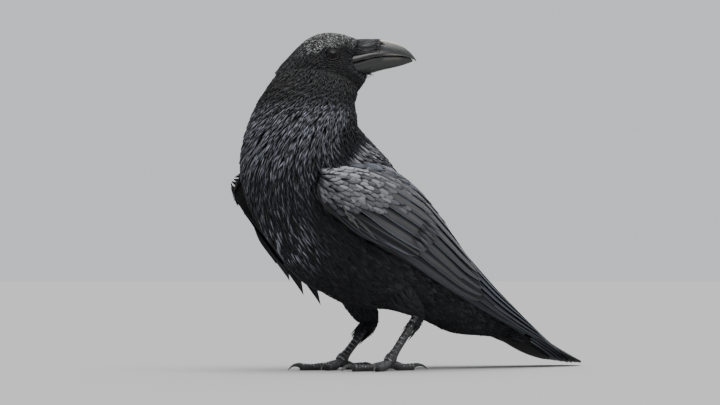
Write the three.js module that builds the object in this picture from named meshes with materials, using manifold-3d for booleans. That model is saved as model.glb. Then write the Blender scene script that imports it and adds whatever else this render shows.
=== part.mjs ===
// A common raven, life size, standing with its body pitched up and its head turned back over
// its left shoulder. Millimetres, +Z up. The body faces -Y and the bird's left is +X, so the
// floor is z = 0. Every feathered part is modelled to the tips of its feathers.
import * as THREE from "three";
import { LoftGeometry } from "three/addons/geometries/LoftGeometry.js";
import { mergeVertices } from "three/addons/utils/BufferGeometryUtils.js";
import Module from "manifold-3d";

const wasm = await Module();
wasm.setup();

const { abs, cos, exp, max, min, PI, sign, sin, sqrt } = Math;
const rad = THREE.MathUtils.degToRad;
const lerp = THREE.MathUtils.lerp;

// ---------------------------------------------------------------- driving dimensions, in mm
const GAP = 0.4; // between neighbouring solids
const HEAD_TURN = 50; // the bill's bearing from +X towards +Y, in degrees
const EYE_CENTRE = [11.8, -60.7, 326]; // the point midway between the eyes
const EYE_BALL = 8.2; // radius
const EYE_AHEAD = 0.5; // of EYE_CENTRE, along the bill
const EYE_OUT = 19.4; // from the head's midplane to an eyeball's centre
// Each folded wing from its bend, in front, to its tip. The right one hangs loosely: hang
// lowers the middle of its lower edge, as a share of the left one's depth there.
const WINGS = {
  left: { side: 1, bend: [67, -121, 199], tip: [39, 244, 12], hang: 0 },
  right: { side: -1, bend: [-87, -118, 199], tip: [-43, 248, 16], hang: 1.2 },
};
const TAIL_ROOT = [122, 90]; // y and z of the tail's root, inside the rump
const TAIL_TIP = [299, 2.2];
const HEEL = { left: [33, 38, 58], right: [-37, 32, 50] };
const FOOT = { left: [30, 0], right: [-32, -14] }; // where the tarsus meets the toes
const FOOT_HEIGHT = 8.5; // of that joint's centre
const THIGH_TOP = { left: [31, 0, 99], right: [-32, 2, 99] };
const TARSUS_RADIUS = 4.3;

// ---------------------------------------------------------------- materials
function finish(color, roughness) {
  return new THREE.MeshStandardMaterial({ color, roughness, metalness: 0 });
}

const PLUMAGE = finish(0x17181b, 0.55);
const WING_PLUMAGE = finish(0x23252b, 0.45);
const HORN = finish(0x1d1d1f, 0.35);
const LEG_SKIN = finish(0x2b2c2f, 0.5);
const EYE = finish(0x0c0807, 0.05);

// ---------------------------------------------------------------- shape helpers
// Rows of [at, value, value...] as one smooth function of at, which gives the values.
function keyed(rows) {
  const values = rows.flatMap((row) => row.slice(1));
  const curve = new THREE.CubicInterpolant(rows.map((row) => row[0]), values, rows[0].length - 1);
  return (at) => Array.from(curve.evaluate(at));
}

// A closed skin through the rings ring(t, angle) for t from start to end, as a solid.
function loft(ring, start, end, rings, sides) {
  const sections = [];
  for (let i = 0; i <= rings; i++) {
    const t = lerp(start, end, i / rings);
    sections.push(Array.from({ length: sides }, (_, j) => ring(t, (2 * PI * j) / sides)));
  }
  if (windsBackwards(sections)) sections.forEach((section) => section.reverse());
  return solid(new LoftGeometry(sections, { capStart: true, capEnd: true }));
}

function middleOf(ring) {
  return ring.reduce((sum, p) => sum.add(p), new THREE.Vector3()).divideScalar(ring.length);
}

// Whether the rings turn clockwise as seen from the loft's end.
function windsBackwards(sections) {
  const here = sections[sections.length >> 1];
  const before = sections[(sections.length >> 1) - 1];
  const area = new THREE.Vector3();
  here.forEach((p, j) => {
    const next = here[(j + 1) % here.length];
    area.add(new THREE.Vector3().crossVectors(p, next));
  });
  return area.dot(middleOf(here).sub(middleOf(before))) < 0;
}

// A closed three.js geometry that faces out, as a manifold solid.
function solid(geometry) {
  const plain = new THREE.BufferGeometry();
  plain.setAttribute("position", geometry.attributes.position);
  plain.setIndex(geometry.index);
  const merged = mergeVertices(plain, 1e-3);
  const vertProperties = merged.attributes.position.array;
  const triVerts = new Uint32Array(merged.index.array);
  return new wasm.Manifold(new wasm.Mesh({ numProp: 3, vertProperties, triVerts }));
}

// The largest body of a solid, without the slivers that a cut may leave.
function largest(made) {
  return made.decompose().reduce((a, b) => (a.volume() > b.volume() ? a : b));
}

const unit = (v) => v.clone().normalize();
const vec = (p) => new THREE.Vector3(...p);

// The two sides of a plane through a point, each half a gap short of it: [behind, ahead].
function part(made, normal, point) {
  const n = unit(vec(normal));
  const at = n.dot(vec(point));
  const ahead = made.trimByPlane(n.toArray(), at + GAP / 2);
  const behind = made.trimByPlane(n.clone().negate().toArray(), -at + GAP / 2);
  return [largest(behind), largest(ahead)];
}

const aboveFloor = (made) => made.trimByPlane([0, 0, 1], 0);

const group = new THREE.Group();

function add(name, made, material) {
  const mesh = made.getMesh();
  const geometry = new THREE.BufferGeometry();
  geometry.setAttribute("position", new THREE.BufferAttribute(mesh.vertProperties, 3));
  geometry.setIndex(new THREE.BufferAttribute(mesh.triVerts, 1));
  const node = new THREE.Mesh(geometry, material);
  node.name = name;
  group.add(node);
}

// ---------------------------------------------------------------- trunk and neck
// Stations from the rump to inside the head: x, y, z of the spine, the half width, the dorsal
// and ventral reach, the roll that turns the half width towards the bill's bearing, and the
// pitch of the way ahead, up from -Y.
const bodyAt = keyed([
  [0, 0, 196, 40, 12, 7, 9, 0, 24],
  [1, 0, 166, 53, 26, 17, 20, 0, 24],
  [2, 0, 134, 67, 38, 27, 32, 0, 25],
  [3, 0, 100, 81, 47, 37, 33, 0, 26],
  [4, 0, 56, 101, 55, 50, 43, 0, 28],
  [5, 0, 10, 125, 60, 65, 65, 0, 31],
  [6, 0, -39, 158, 60, 78, 72, 0, 38],
  [7, 0, -78, 195, 58, 76, 72, 0, 49],
  [8, 0, -95, 226, 59, 66, 66, 2, 62],
  [9, 0, -93, 252, 57, 54, 59, 16, 77],
  [10, 0, -87, 275, 50, 44, 47, 36, 90],
  [11, 2.5, -76.5, 297, 44, 35.5, 35.5, 48, 98],
  [12, 1, -74, 314, 28, 24, 24, 50, 100],
  [13, 1, -72, 328, 13, 13, 13, 50, 100],
]);
const BODY_END = 13;

// A sine or cosine bent so that a section is fuller than an ellipse.
const FULLNESS = 0.89;
const full = (value) => sign(value) * abs(value) ** FULLNESS;

function bodyRing(grow) {
  return (t, angle) => {
    const [x, y, z, width, dorsal, ventral, roll, pitch] = bodyAt(t);
    const along = new THREE.Vector3(0, -cos(rad(pitch)), sin(rad(pitch)));
    const back = new THREE.Vector3(0, sin(rad(pitch)), cos(rad(pitch)));
    const s = (width + grow) * full(cos(angle));
    const d = ((sin(angle) > 0 ? dorsal : ventral) + grow) * full(sin(angle));
    const turned = new THREE.Vector3(s, 0, 0).addScaledVector(back, d);
    return turned.applyAxisAngle(along, rad(roll)).add(new THREE.Vector3(x, y, z));
  };
}

const bodySolid = (grow) => loft(bodyRing(grow), 0, BODY_END, 22, 20);

// ---------------------------------------------------------------- head
// Head coordinates: f towards the bill's tip, s towards the head's left, k up, from EYE_CENTRE.
const BILL_WAY = new THREE.Vector3(cos(rad(HEAD_TURN)), sin(rad(HEAD_TURN)), 0);
const HEAD_LEFT = new THREE.Vector3(-BILL_WAY.y, BILL_WAY.x, 0);
const inHead = (f, s, k) =>
  vec(EYE_CENTRE).addScaledVector(BILL_WAY, f).addScaledVector(HEAD_LEFT, s).add(new THREE.Vector3(0, 0, k));

// Stations along f: the crown, the widest level, the underside, and the half width.
const headAt = keyed([
  [-60, -16, -28, -41, 11],
  [-54, -9, -25, -43, 18],
  [-47, -1.8, -21, -45, 23],
  [-39, 7, -17, -46, 26.3],
  [-28, 16.8, -13, -47, 28.3],
  [-16, 22.8, -10, -46, 28.5],
  [-4, 24.6, -8, -45, 27.2],
  [8, 23.4, -7, -45, 24.4],
  [17, 20.9, -6, -43, 19.5],
  [25, 18.4, -5, -37.5, 14.2],
  [33, 16.6, -4, -27, 11.2],
  [38, 14.6, -4, -20.5, 9.2],
]);

const HEAD_BACK = -60;
const HEAD_FRONT = 38;

function headRing(f, angle) {
  const [crown, middle, under, width] = headAt(f);
  const reach = sin(angle) > 0 ? crown - middle : middle - under;
  return inHead(f, width * cos(angle), middle + reach * sin(angle));
}

// The same ring, a gap farther out.
function headRingGrown(f, angle) {
  const at = headRing(f, angle);
  const [, middle] = headAt(f);
  return at.add(unit(at.clone().sub(inHead(f, 0, middle))).multiplyScalar(GAP));
}

// ---------------------------------------------------------------- bill
// Stations along f: the ridge, the cutting edge and the half width of the upper half.
const upperAt = keyed([
  [12, 15.5, -8.6, 12.5],
  [22, 16.8, -6.8, 13.6],
  [31, 17.3, -4.2, 13.0],
  [40, 17.4, -1.4, 11.8],
  [52, 17.0, 0.3, 10.0],
  [62, 15.2, 0.8, 8.3],
  [70, 12.0, 0.5, 6.7],
  [77, 7.6, -0.5, 4.9],
  [82, 3.0, -1.9, 3.1],
  [85.2, -0.9, -3.6, 1.7],
  [86.6, -3.3, -4.9, 0.6],
]);
// The same for the lower half: cutting edge, underside and half width.
const lowerAt = keyed([
  [12, -9.4, -21.5, 12.0],
  [22, -7.6, -20.6, 12.2],
  [31, -5.0, -19.2, 11.2],
  [40, -2.2, -17.2, 10.0],
  [52, -0.5, -13.8, 8.4],
  [62, 0.0, -11.6, 6.9],
  [70, -0.3, -9.6, 5.3],
  [77, -1.3, -7.4, 3.6],
  [81.5, -2.7, -5.7, 2.0],
  [83, -3.6, -5.0, 0.9],
]);

function upperRing(grow) {
  return (f, angle) => {
    const [ridge, edge, width] = upperAt(f);
    const rise = max(sin(angle), 0) * (ridge - edge + grow) + min(sin(angle), 0) * grow;
    return inHead(f, (width + grow) * cos(angle), edge + rise);
  };
}

function lowerRing(grow) {
  return (f, angle) => {
    const [edge, under, width] = lowerAt(f);
    const drop = min(sin(angle), 0) * (edge - under + grow) + max(sin(angle), 0) * grow;
    return inHead(f, (width + grow) * cos(angle), edge + drop);
  };
}

const BILL_ROOT = 12; // where both halves start, inside the head
const UPPER_TIP = 86.6;
const LOWER_TIP = 83;

const upperSolid = (grow) => loft(upperRing(grow), BILL_ROOT - grow, UPPER_TIP, 12, 12);
const lowerSolid = (grow) => loft(lowerRing(grow), BILL_ROOT - grow, LOWER_TIP, 10, 10);

// The pad of bristles that lies forward over each nostril: a lens on the side of the bill.
const BRISTLES = { start: 20, end: 47, low: 4, high: 86, depth: 2.4 }; // f, degrees up, mm

function bristlePad(side) {
  return (f, angle) => {
    const t = (f - BRISTLES.start) / (BRISTLES.end - BRISTLES.start);
    const narrow = sqrt(max(1 - t ** 4, 0.04));
    const middle = lerp(BRISTLES.low, BRISTLES.high, 0.5);
    const up = rad(middle - ((BRISTLES.high - BRISTLES.low) / 2) * narrow * cos(angle));
    const depth = GAP + 0.2 + max(sin(angle), 0) * BRISTLES.depth * narrow;
    const [ridge, edge, width] = upperAt(f);
    return inHead(f, side * (width + depth) * cos(up), edge + (ridge - edge + depth) * sin(up));
  };
}

// ---------------------------------------------------------------- wings
// A folded wing is a bowed sheet: a runs from the bend to the tip, h up across it and out is
// the lift from the chord between the two. Stations along a: lower edge, upper edge, bow of the
// middle, and thickness.
const wingAt = keyed([
  [0, -6, 7, 0, 5],
  [14, -20, 26, 3, 10],
  [42, -28, 50, 8, 13],
  [80, -30, 64, 12.5, 14],
  [130, -27, 66, 15, 13],
  [180, -23, 53, 14.5, 11],
  [230, -20, 36, 12, 9],
  [280, -15, 22, 8.5, 7],
  [330, -10, 13, 5, 5.5],
  [370, -7, 8, 2, 4.5],
  [396, -4.5, 5, 0.5, 3.2],
  [408, -1.5, 1.5, 0, 2],
]);
const WING_LENGTH = 408;
const WRAP_TOP = 50; // how far the upper edge turns in over the back, where the wing is widest
const WRAP_LOW = 7; // and the lower edge in under the flank
const TUCK = 8; // how far the lower edge dives in at the very end
const FULL_WRAP_WIDTH = 62; // a wing narrower than this turns in less
const HANG_AT = 150; // where along a a loose wing hangs lowest, and over what length
const HANG_LENGTH = 70;

for (const wing of Object.values(WINGS)) {
  wing.along = unit(vec(wing.tip).sub(vec(wing.bend)));
  wing.up = unit(new THREE.Vector3(0, 0, 1).addScaledVector(wing.along, -wing.along.z));
  wing.out = new THREE.Vector3().crossVectors(wing.along, wing.up).multiplyScalar(wing.side);
}

// A point of a wing's outer face, or under it by depth; share runs from its lower edge to its
// upper one.
function onWing(wing, a, share, depth = 0) {
  const [low, high, bow] = wingAt(a);
  const hang = 1 + wing.hang * exp(-(((a - HANG_AT) / HANG_LENGTH) ** 2));
  const turn = max((share - 0.5) / 0.5, 0) * (PI / 2); // of the upper half, over the back
  const base = max((0.35 - share) / 0.35, 0);
  const middle = lerp(low * hang, high, 0.5);
  const h = share > 0.5 ? lerp(middle, high, sin(turn)) : lerp(low * hang, middle, 2 * share);
  const under = (WRAP_LOW * base ** 2 + TUCK * base ** 8) / hang ** 2;
  const over = WRAP_TOP * (1 - cos(turn));
  const out = bow - (over + under) * min((high - low) / FULL_WRAP_WIDTH, 1) - depth;
  return vec(wing.bend)
    .addScaledVector(wing.along, a)
    .addScaledVector(wing.up, h)
    .addScaledVector(wing.out, out);
}

// The ring goes up the outer face and back down the inner one.
function wingRing(wing) {
  return (a, angle) => {
    const thickness = wingAt(a)[3];
    return onWing(wing, a, (1 - cos(angle)) / 2, thickness * max(-sin(angle), 0));
  };
}

// ---------------------------------------------------------------- tail
// Stations from root to tip: half width, thickness at the middle and sag of the outer feathers.
const tailAt = keyed([
  [0, 20, 12, 3],
  [0.25, 28, 10, 6],
  [0.5, 32, 7, 8],
  [0.75, 33.5, 5, 7],
  [0.88, 32, 4, 4],
  [0.95, 23, 3.2, 1.5],
  [1, 7, 2.4, 0],
]);
const TAIL_BEND = 0.05; // how much the tail flattens towards its tip, as a share of its drop

function tailRing(t, angle) {
  const [width, thickness, sag] = tailAt(t);
  const drop = t + TAIL_BEND * sin(PI * t);
  const y = lerp(TAIL_ROOT[0], TAIL_TIP[0], t);
  const z = lerp(TAIL_ROOT[1], TAIL_TIP[1], drop);
  const x = width * cos(angle);
  return new THREE.Vector3(x, y, z - sag * (x / width) ** 2 + (thickness / 2) * sin(angle));
}

// The tail's ring, thickened above and below to leave a gap around it.
function thickTailRing(t, angle) {
  return tailRing(t, angle).add(new THREE.Vector3(0, 0, 1.5 * GAP * sign(sin(angle))));
}

// ---------------------------------------------------------------- legs and feet
// A round limb along a curve, with its radius given by t.
function limb(points, radius, flatten = 1) {
  const path = new THREE.CatmullRomCurve3(points.map(vec));
  return (t, angle) => {
    const at = path.getPoint(t);
    const way = path.getTangent(t);
    const side = unit(new THREE.Vector3(-way.y, way.x, 0));
    const up = new THREE.Vector3().crossVectors(way, side);
    const r = radius(t);
    return at.addScaledVector(side, r * cos(angle)).addScaledVector(up, r * flatten * sin(angle));
  };
}

// The share of the way down; the left and the right thigh's radius. The right one's feathers
// hang over its heel.
const thighRadius = keyed([
  [0, 25, 25],
  [0.25, 22.5, 22.5],
  [0.5, 17.5, 17],
  [0.75, 11, 14],
  [0.9, 7.8, 12],
  [1, 6.4, 10.5],
]);
const KNEE = [0.5, 0.42, 0.5]; // how far down the thigh's middle is on each axis

function thighSolid(side, grow) {
  const heel = HEEL[side];
  const knee = THIGH_TOP[side].map((v, i) => lerp(v, heel[i], KNEE[i]));
  const column = side === "left" ? 0 : 1;
  const radius = (t) => thighRadius(t)[column] + grow;
  return loft(limb([THIGH_TOP[side], knee, heel], radius), 0, 1, 9, 14);
}

const tarsusRadius = keyed([
  [0, TARSUS_RADIUS + 1.3],
  [0.16, TARSUS_RADIUS + 0.1],
  [0.5, TARSUS_RADIUS - 0.2],
  [0.82, TARSUS_RADIUS + 0.3],
  [0.93, TARSUS_RADIUS + 2],
  [1, TARSUS_RADIUS + 1.2],
]);

// Toes: bearing from straight ahead, outward positive; length without the claw; joints; claw.
const TOES = {
  middle: { bearing: 4, length: 50, pads: 3, radius: 3.9, claw: 17 },
  inner: { bearing: -27, length: 36, pads: 2, radius: 3.7, claw: 15 },
  outer: { bearing: 33, length: 40, pads: 3, radius: 3.6, claw: 14 },
  hind: { bearing: 176, length: 31, pads: 2, radius: 4.2, claw: 20 },
};
const TOE_HEIGHT = 3.2; // of a toe's middle over the floor

function toeWay(side, toe) {
  const turn = rad(toe.bearing) * (side === "left" ? 1 : -1);
  return new THREE.Vector3(sin(turn), -cos(turn), 0);
}

function toeRing(side, toe, grow) {
  const start = new THREE.Vector3(FOOT[side][0], FOOT[side][1], 0);
  const way = toeWay(side, toe);
  const point = (along, z) => start.clone().addScaledVector(way, along).setZ(z).toArray();
  const path = [
    point(0, FOOT_HEIGHT - 1),
    point(9, 5.4),
    point(0.55 * toe.length, TOE_HEIGHT),
    point(toe.length, TOE_HEIGHT),
  ];
  const pad = (t) => 0.45 * cos(2 * PI * toe.pads * t);
  return limb(path, (t) => lerp(toe.radius + 0.6, toe.radius - 0.5, t) + pad(t) + grow);
}

function clawRing(side, toe) {
  const start = new THREE.Vector3(FOOT[side][0], FOOT[side][1], 0);
  const way = toeWay(side, toe);
  start.addScaledVector(way, toe.length);
  const point = (along, z) => start.clone().addScaledVector(way, along * toe.claw).setZ(z).toArray();
  const path = [point(-0.05, 3.9), point(0.3, 5.6), point(0.7, 4.6), point(1, 0.9)];
  return limb(path, (t) => lerp(2.7, 0.45, t), 1.15);
}

// ---------------------------------------------------------------- build: body, head and bill
const body = bodySolid(0);
const bodyGrown = bodySolid(GAP);
const headLoft = loft(headRing, HEAD_BACK, HEAD_FRONT, 14, 18);
const headGrown = loft(headRingGrown, HEAD_BACK, HEAD_FRONT + GAP, 14, 18);
const upper = upperSolid(0);
const lower = lowerSolid(0);
const eyeCentre = (side) => inHead(EYE_AHEAD, side * EYE_OUT, 0);

function ball(centre, radius) {
  return solid(new THREE.SphereGeometry(radius, 12, 8)).translate(centre.toArray());
}

let flesh = body.add(headLoft);
flesh = flesh.subtract(upperSolid(GAP)).subtract(lowerSolid(GAP));
for (const side of [-1, 1]) flesh = flesh.subtract(ball(eyeCentre(side), EYE_BALL + GAP));

const HEAD_CUT = {
  point: inHead(-8, 0, -34).toArray(),
  normal: [0.16 * BILL_WAY.x, 0.16 * BILL_WAY.y, 1],
};
const NECK_CUT = { point: [0, -95, 244], normal: [0, -0.15, 1] };
const [belowHead, head] = part(largest(flesh), HEAD_CUT.normal, HEAD_CUT.point);
const [trunk, neck] = part(belowHead, NECK_CUT.normal, NECK_CUT.point);

add("head", head, PLUMAGE);
add("neck", neck, PLUMAGE);
add("bill_upper", upper, HORN);
add("bill_lower", lower, HORN);
for (const [name, side] of [["right", -1], ["left", 1]]) {
  add(`eye_${name}`, ball(eyeCentre(side), EYE_BALL), EYE);
  const pad = loft(bristlePad(side), BRISTLES.start, BRISTLES.end, 6, 10).subtract(upperSolid(GAP));
  add(`bristles_${name}`, largest(pad.subtract(headGrown)), PLUMAGE);
}

// ---------------------------------------------------------------- build: wings and tail
const tailLoft = loft(tailRing, 0, 1, 12, 14);
const tail = aboveFloor(largest(tailLoft.subtract(bodyGrown)));
const tailGrown = loft(thickTailRing, 0, 1, 12, 14);

const WING_CUTS = [118, 268]; // along a, where the secondaries and the primaries begin
for (const [name, wing] of Object.entries(WINGS)) {
  const whole = loft(wingRing(wing), 0, WING_LENGTH, 20, 14);
  const around = bodyGrown.add(tailGrown).add(thighSolid(name, GAP));
  const free = largest(whole.subtract(around));
  const [first, second] = WING_CUTS.map((a) => onWing(wing, a, 0.5).toArray());
  const [coverts, rear] = part(free, wing.along.toArray(), first);
  const [secondaries, primaries] = part(rear, wing.along.toArray(), second);
  add(`wing_coverts_${name}`, coverts, WING_PLUMAGE);
  add(`wing_secondaries_${name}`, secondaries, WING_PLUMAGE);
  add(`wing_primaries_${name}`, aboveFloor(primaries), WING_PLUMAGE);
}
add("trunk", trunk, PLUMAGE);
add("tail", tail, WING_PLUMAGE);

// ---------------------------------------------------------------- build: legs
for (const side of ["left", "right"]) {
  const heel = HEEL[side];
  const foot = [...FOOT[side], FOOT_HEIGHT];
  const shank = [heel, heel.map((v, i) => lerp(v, foot[i], 0.5)), foot];
  const tarsusRing = (grow) => limb(shank, (t) => tarsusRadius(t)[0] + grow);
  const tarsusGrown = loft(tarsusRing(GAP), 0, 1, 10, 10);
  const thigh = thighSolid(side, 0).subtract(bodyGrown).subtract(tarsusGrown);
  add(`thigh_${side}`, largest(thigh), PLUMAGE);
  const tarsus = loft(tarsusRing(0), 0, 1, 10, 10).subtract(bodyGrown);
  add(`tarsus_${side}`, largest(aboveFloor(tarsus)), LEG_SKIN);

  const middleGrown = loft(toeRing(side, TOES.middle, GAP), 0, 1, 7, 8);
  for (const [name, toe] of Object.entries(TOES)) {
    const whole = loft(toeRing(side, toe, 0), 0, 1, 7, 8).subtract(tarsusGrown);
    const made = name === "middle" ? whole : whole.subtract(middleGrown);
    const grown = loft(toeRing(side, toe, GAP), 0, 1, 7, 8);
    const claw = loft(clawRing(side, toe), 0, 1, 6, 6).subtract(grown);
    add(`toe_${name}_${side}`, largest(aboveFloor(made)), LEG_SKIN);
    add(`claw_${name}_${side}`, largest(aboveFloor(claw)), HORN);
  }
}

// ---------------------------------------------------------------- origin
// The origin moves to the middle of the bounding box, at floor level.
const box = new THREE.Box3().setFromObject(group);
const middle = box.getCenter(new THREE.Vector3());
group.position.set(-middle.x, -middle.y, -box.min.z);

export default group;
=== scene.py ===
import bpy
import numpy as np
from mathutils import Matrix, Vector
from mathutils.bvhtree import BVHTree


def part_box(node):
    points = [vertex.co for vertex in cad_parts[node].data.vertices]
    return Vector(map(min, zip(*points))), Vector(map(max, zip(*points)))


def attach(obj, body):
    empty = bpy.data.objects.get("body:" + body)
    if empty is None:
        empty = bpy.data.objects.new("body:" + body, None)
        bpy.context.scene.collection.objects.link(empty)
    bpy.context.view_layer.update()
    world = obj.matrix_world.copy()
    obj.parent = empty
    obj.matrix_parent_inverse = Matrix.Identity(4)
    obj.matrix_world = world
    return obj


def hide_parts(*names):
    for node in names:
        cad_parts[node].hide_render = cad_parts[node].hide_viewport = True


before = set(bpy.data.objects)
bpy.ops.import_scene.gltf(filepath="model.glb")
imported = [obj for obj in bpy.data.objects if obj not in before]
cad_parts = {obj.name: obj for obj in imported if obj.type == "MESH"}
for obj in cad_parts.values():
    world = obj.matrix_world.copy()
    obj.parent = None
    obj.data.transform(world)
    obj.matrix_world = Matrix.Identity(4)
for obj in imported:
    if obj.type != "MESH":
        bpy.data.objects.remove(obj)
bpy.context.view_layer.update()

PI = np.pi
TURN = 2 * PI

# ---------------------------------------------------------------- driving sizes, in mm
MM = 0.001
HEAD_TURN = 50  # the bill's bearing from +X towards +Y, in degrees
EYE_CENTRE = np.array([11.8, -60.7, 326.0])  # midway between the eyes
EYE_BALL = 8.2
EYE_OUT = 19.4  # an eye's centre from the head's middle, and ahead of the point above
EYE_AHEAD = 0.5
# Each wing's bend at the shoulder, its tip, and how much deeper than a tight one it hangs.
WINGS = {
    "left": {"side": 1, "bend": (67, -121, 199), "tip": (39, 244, 12), "hang": 0},
    "right": {"side": -1, "bend": (-87, -118, 199), "tip": (-43, 248, 16), "hang": 1.2},
}
TAIL_ROOT = (122, 90)  # y and z of its middle feathers
TAIL_TIP = (299, 2.2)
TAIL_BEND = 0.05
SIDES = {"left": 1, "right": -1}
HEEL = {"left": (33, 38, 58), "right": (-37, 32, 50)}
FOOT = {"left": (30, 0), "right": (-32, -14)}
FOOT_HEIGHT = 8.5
THIGH_TOP = {"left": (31, 0, 99), "right": (-32, 2, 99)}
TARSUS_RADIUS = 4.3
TOE_HEIGHT = 3.2
# Bearings are in degrees from straight ahead, outwards.
TOES = {
    "middle": {"bearing": 4, "length": 50, "pads": 3, "radius": 3.9, "claw": 17},
    "inner": {"bearing": -27, "length": 36, "pads": 2, "radius": 3.7, "claw": 15},
    "outer": {"bearing": 33, "length": 40, "pads": 3, "radius": 3.6, "claw": 14},
    "hind": {"bearing": 176, "length": 31, "pads": 2, "radius": 4.2, "claw": 20},
}
SEED = 11


# ---------------------------------------------------------------- small helpers
def keyed(rows):
    """A smooth function of the rows' first column that gives the other columns: between two rows
    a cubic, whose slope at each row is the mean of the two chords beside it."""
    table = np.array(rows, float)
    at, values = table[:, 0], table[:, 1:]
    chords = np.diff(values, axis=0) / np.diff(at)[:, None]
    slopes = np.vstack([chords[:1], (chords[:-1] + chords[1:]) / 2, chords[-1:]])

    def curve(x):
        x = np.clip(np.asarray(x, float), at[0], at[-1])
        i = np.clip(np.searchsorted(at, x, side="right") - 1, 0, len(at) - 2)
        step = (at[i + 1] - at[i])[..., None]
        p = (x - at[i])[..., None] / step
        start = values[i] * (1 + 2 * p) + slopes[i] * step * p
        end = values[i + 1] * (3 - 2 * p) + slopes[i + 1] * step * (p - 1)
        return np.moveaxis(start * (1 - p) ** 2 + end * p * p, -1, 0)

    return curve


def unit(v):
    """The same direction, one long."""
    return v / np.maximum(np.linalg.norm(v, axis=-1, keepdims=True), 1e-12)


def dot(a, b):
    """The products of two arrays of vectors, as a last axis of one."""
    return (a * b).sum(-1, keepdims=True)


def lerp(a, b, t):
    """The value that is the share t of the way from a to b."""
    return a + (b - a) * t


def ease(x, low, high):
    """0 below low and 1 above high, with a smooth S between."""
    p = np.clip((x - low) / (high - low), 0, 1)
    return p * p * (3 - 2 * p)


def bump(x, middle, reach):
    """A bell that is 1 at the middle and has died away at about twice the reach."""
    return np.exp(-(((x - middle) / reach) ** 2))


def col(x):
    """An array with one more axis, to multiply vectors by."""
    return np.asarray(x, float)[..., None]


def by_place(places, values):
    """A function that goes straight from value to value between places."""
    return lambda x: np.interp(x, places, values)


def down_rows(low, high, count):
    """Places along a path, as the rows of a grid."""
    return np.linspace(low, high, count)[:, None]


def round_columns(count):
    """Angles round a section, as the columns of a grid."""
    return np.linspace(0, TURN, count, endpoint=False)[None, :]


def draw(name):
    """A generator of its own for each piece, so that a change to one leaves the others alone."""
    return np.random.default_rng([SEED, *name.encode()])


# ---------------------------------------------------------------- the surfaces under the feathers
# Each takes two places and a depth below the coat's outside, and gives points.
FULLNESS = 0.89  # bends a sine or cosine so that a section is fuller than an ellipse
body_at = keyed([
    # station; x, y, z of the spine, half width, dorsal and ventral reach, roll, pitch
    (-1.2, 0, 232, 27, 9, 4, 4, 0, 22),
    (0, 0, 196, 40, 12, 7, 9, 0, 24),
    (1, 0, 166, 53, 26, 17, 20, 0, 24),
    (2, 0, 134, 67, 38, 27, 32, 0, 25),
    (3, 0, 100, 81, 47, 37, 33, 0, 26),
    (4, 0, 56, 101, 55, 50, 43, 0, 28),
    (5, 0, 10, 125, 60, 65, 65, 0, 31),
    (6, 0, -39, 158, 60, 78, 72, 0, 38),
    (7, 0, -78, 195, 58, 76, 72, 0, 49),
    (8, 0, -95, 226, 59, 66, 66, 2, 62),
    (9, 0, -93, 252, 57, 54, 59, 16, 77),
    (10, 0, -87, 275, 50, 44, 47, 36, 90),
    (11, 2.5, -76.5, 297, 44, 35.5, 35.5, 48, 98),
    (12, 1, -74, 314, 28, 24, 24, 50, 100),
    (13, 1, -72, 328, 13, 13, 13, 50, 100),
])


def full(value):
    """The value's size to the power of the fullness, with its own sign."""
    return np.sign(value) * np.abs(value) ** FULLNESS


def body(t, angle, sink=0):
    """Round the spine at station t: the half width times the bent cosine across, and the dorsal
    or ventral reach times the bent sine up, both less the sink and rolled about the way ahead."""
    x, y, z, width, dorsal, ventral, roll, pitch = body_at(t)
    pitch, roll = np.radians(pitch), np.radians(roll)
    level = np.zeros_like(x)
    back = np.stack([level, np.sin(pitch), np.cos(pitch)], -1)
    left = np.stack([level + 1, level, level], -1)
    across = col(np.cos(roll)) * left + col(np.sin(roll)) * back
    up = col(np.cos(roll)) * back - col(np.sin(roll)) * left
    s = (width - sink) * full(np.cos(angle))
    d = (np.where(np.sin(angle) > 0, dorsal, ventral) - sink) * full(np.sin(angle))
    return np.stack([x, y, z], -1) + col(s) * across + col(d) * up


BILL_WAY = np.array([np.cos(np.radians(HEAD_TURN)), np.sin(np.radians(HEAD_TURN)), 0])
HEAD_LEFT = np.array([-BILL_WAY[1], BILL_WAY[0], 0])
UP = np.array([0.0, 0.0, 1.0])


def in_head(f, s, k):
    """A point f towards the bill's tip, s towards the head's left and k up from between the eyes."""
    return EYE_CENTRE + col(f) * BILL_WAY + col(s) * HEAD_LEFT + col(k) * UP


head_at = keyed([
    # f; crown, widest level, underside, half width
    (-60, -16, -28, -41, 11),
    (-54, -9, -25, -43, 18),
    (-47, -1.8, -21, -45, 23),
    (-39, 7, -17, -46, 26.3),
    (-28, 16.8, -13, -47, 28.3),
    (-16, 22.8, -10, -46, 28.5),
    (-4, 24.6, -8, -45, 27.2),
    (8, 23.4, -7, -45, 24.4),
    (17, 20.9, -6, -43, 19.5),
    (25, 18.4, -5, -37.5, 14.2),
    (33, 16.6, -4, -27, 11.2),
    (38, 14.6, -4, -20.5, 9.2),
])
BROW = {"f": 4, "k": 8.2, "reach": 5, "height": 1.9}
ORBIT = {"f": -1, "k": -1, "reach": 9, "height": 0.7}
LORE = {"f": 16, "k": 4, "reach": 7, "height": -1.8}
CHEEK = {"f": -2, "k": -17, "reach": 11, "height": 0.8}


def head(f, angle, sink=0):
    """An ellipse across the head at f, between crown, widest level and underside, less the sink,
    with low bells added out to the sides for the brow and cheek and one taken off at the lore."""
    crown, middle, under, width = head_at(f)
    reach = np.where(np.sin(angle) > 0, crown - middle, middle - under) - sink
    k = middle + reach * np.sin(angle)
    swell = 0
    for form in (BROW, ORBIT, LORE, CHEEK):
        near = bump(f, form["f"], form["reach"]) * bump(k, form["k"], form["reach"])
        swell = swell + form["height"] * near
    s = (width - sink + swell) * np.cos(angle)
    return in_head(f, s, k)


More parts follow.
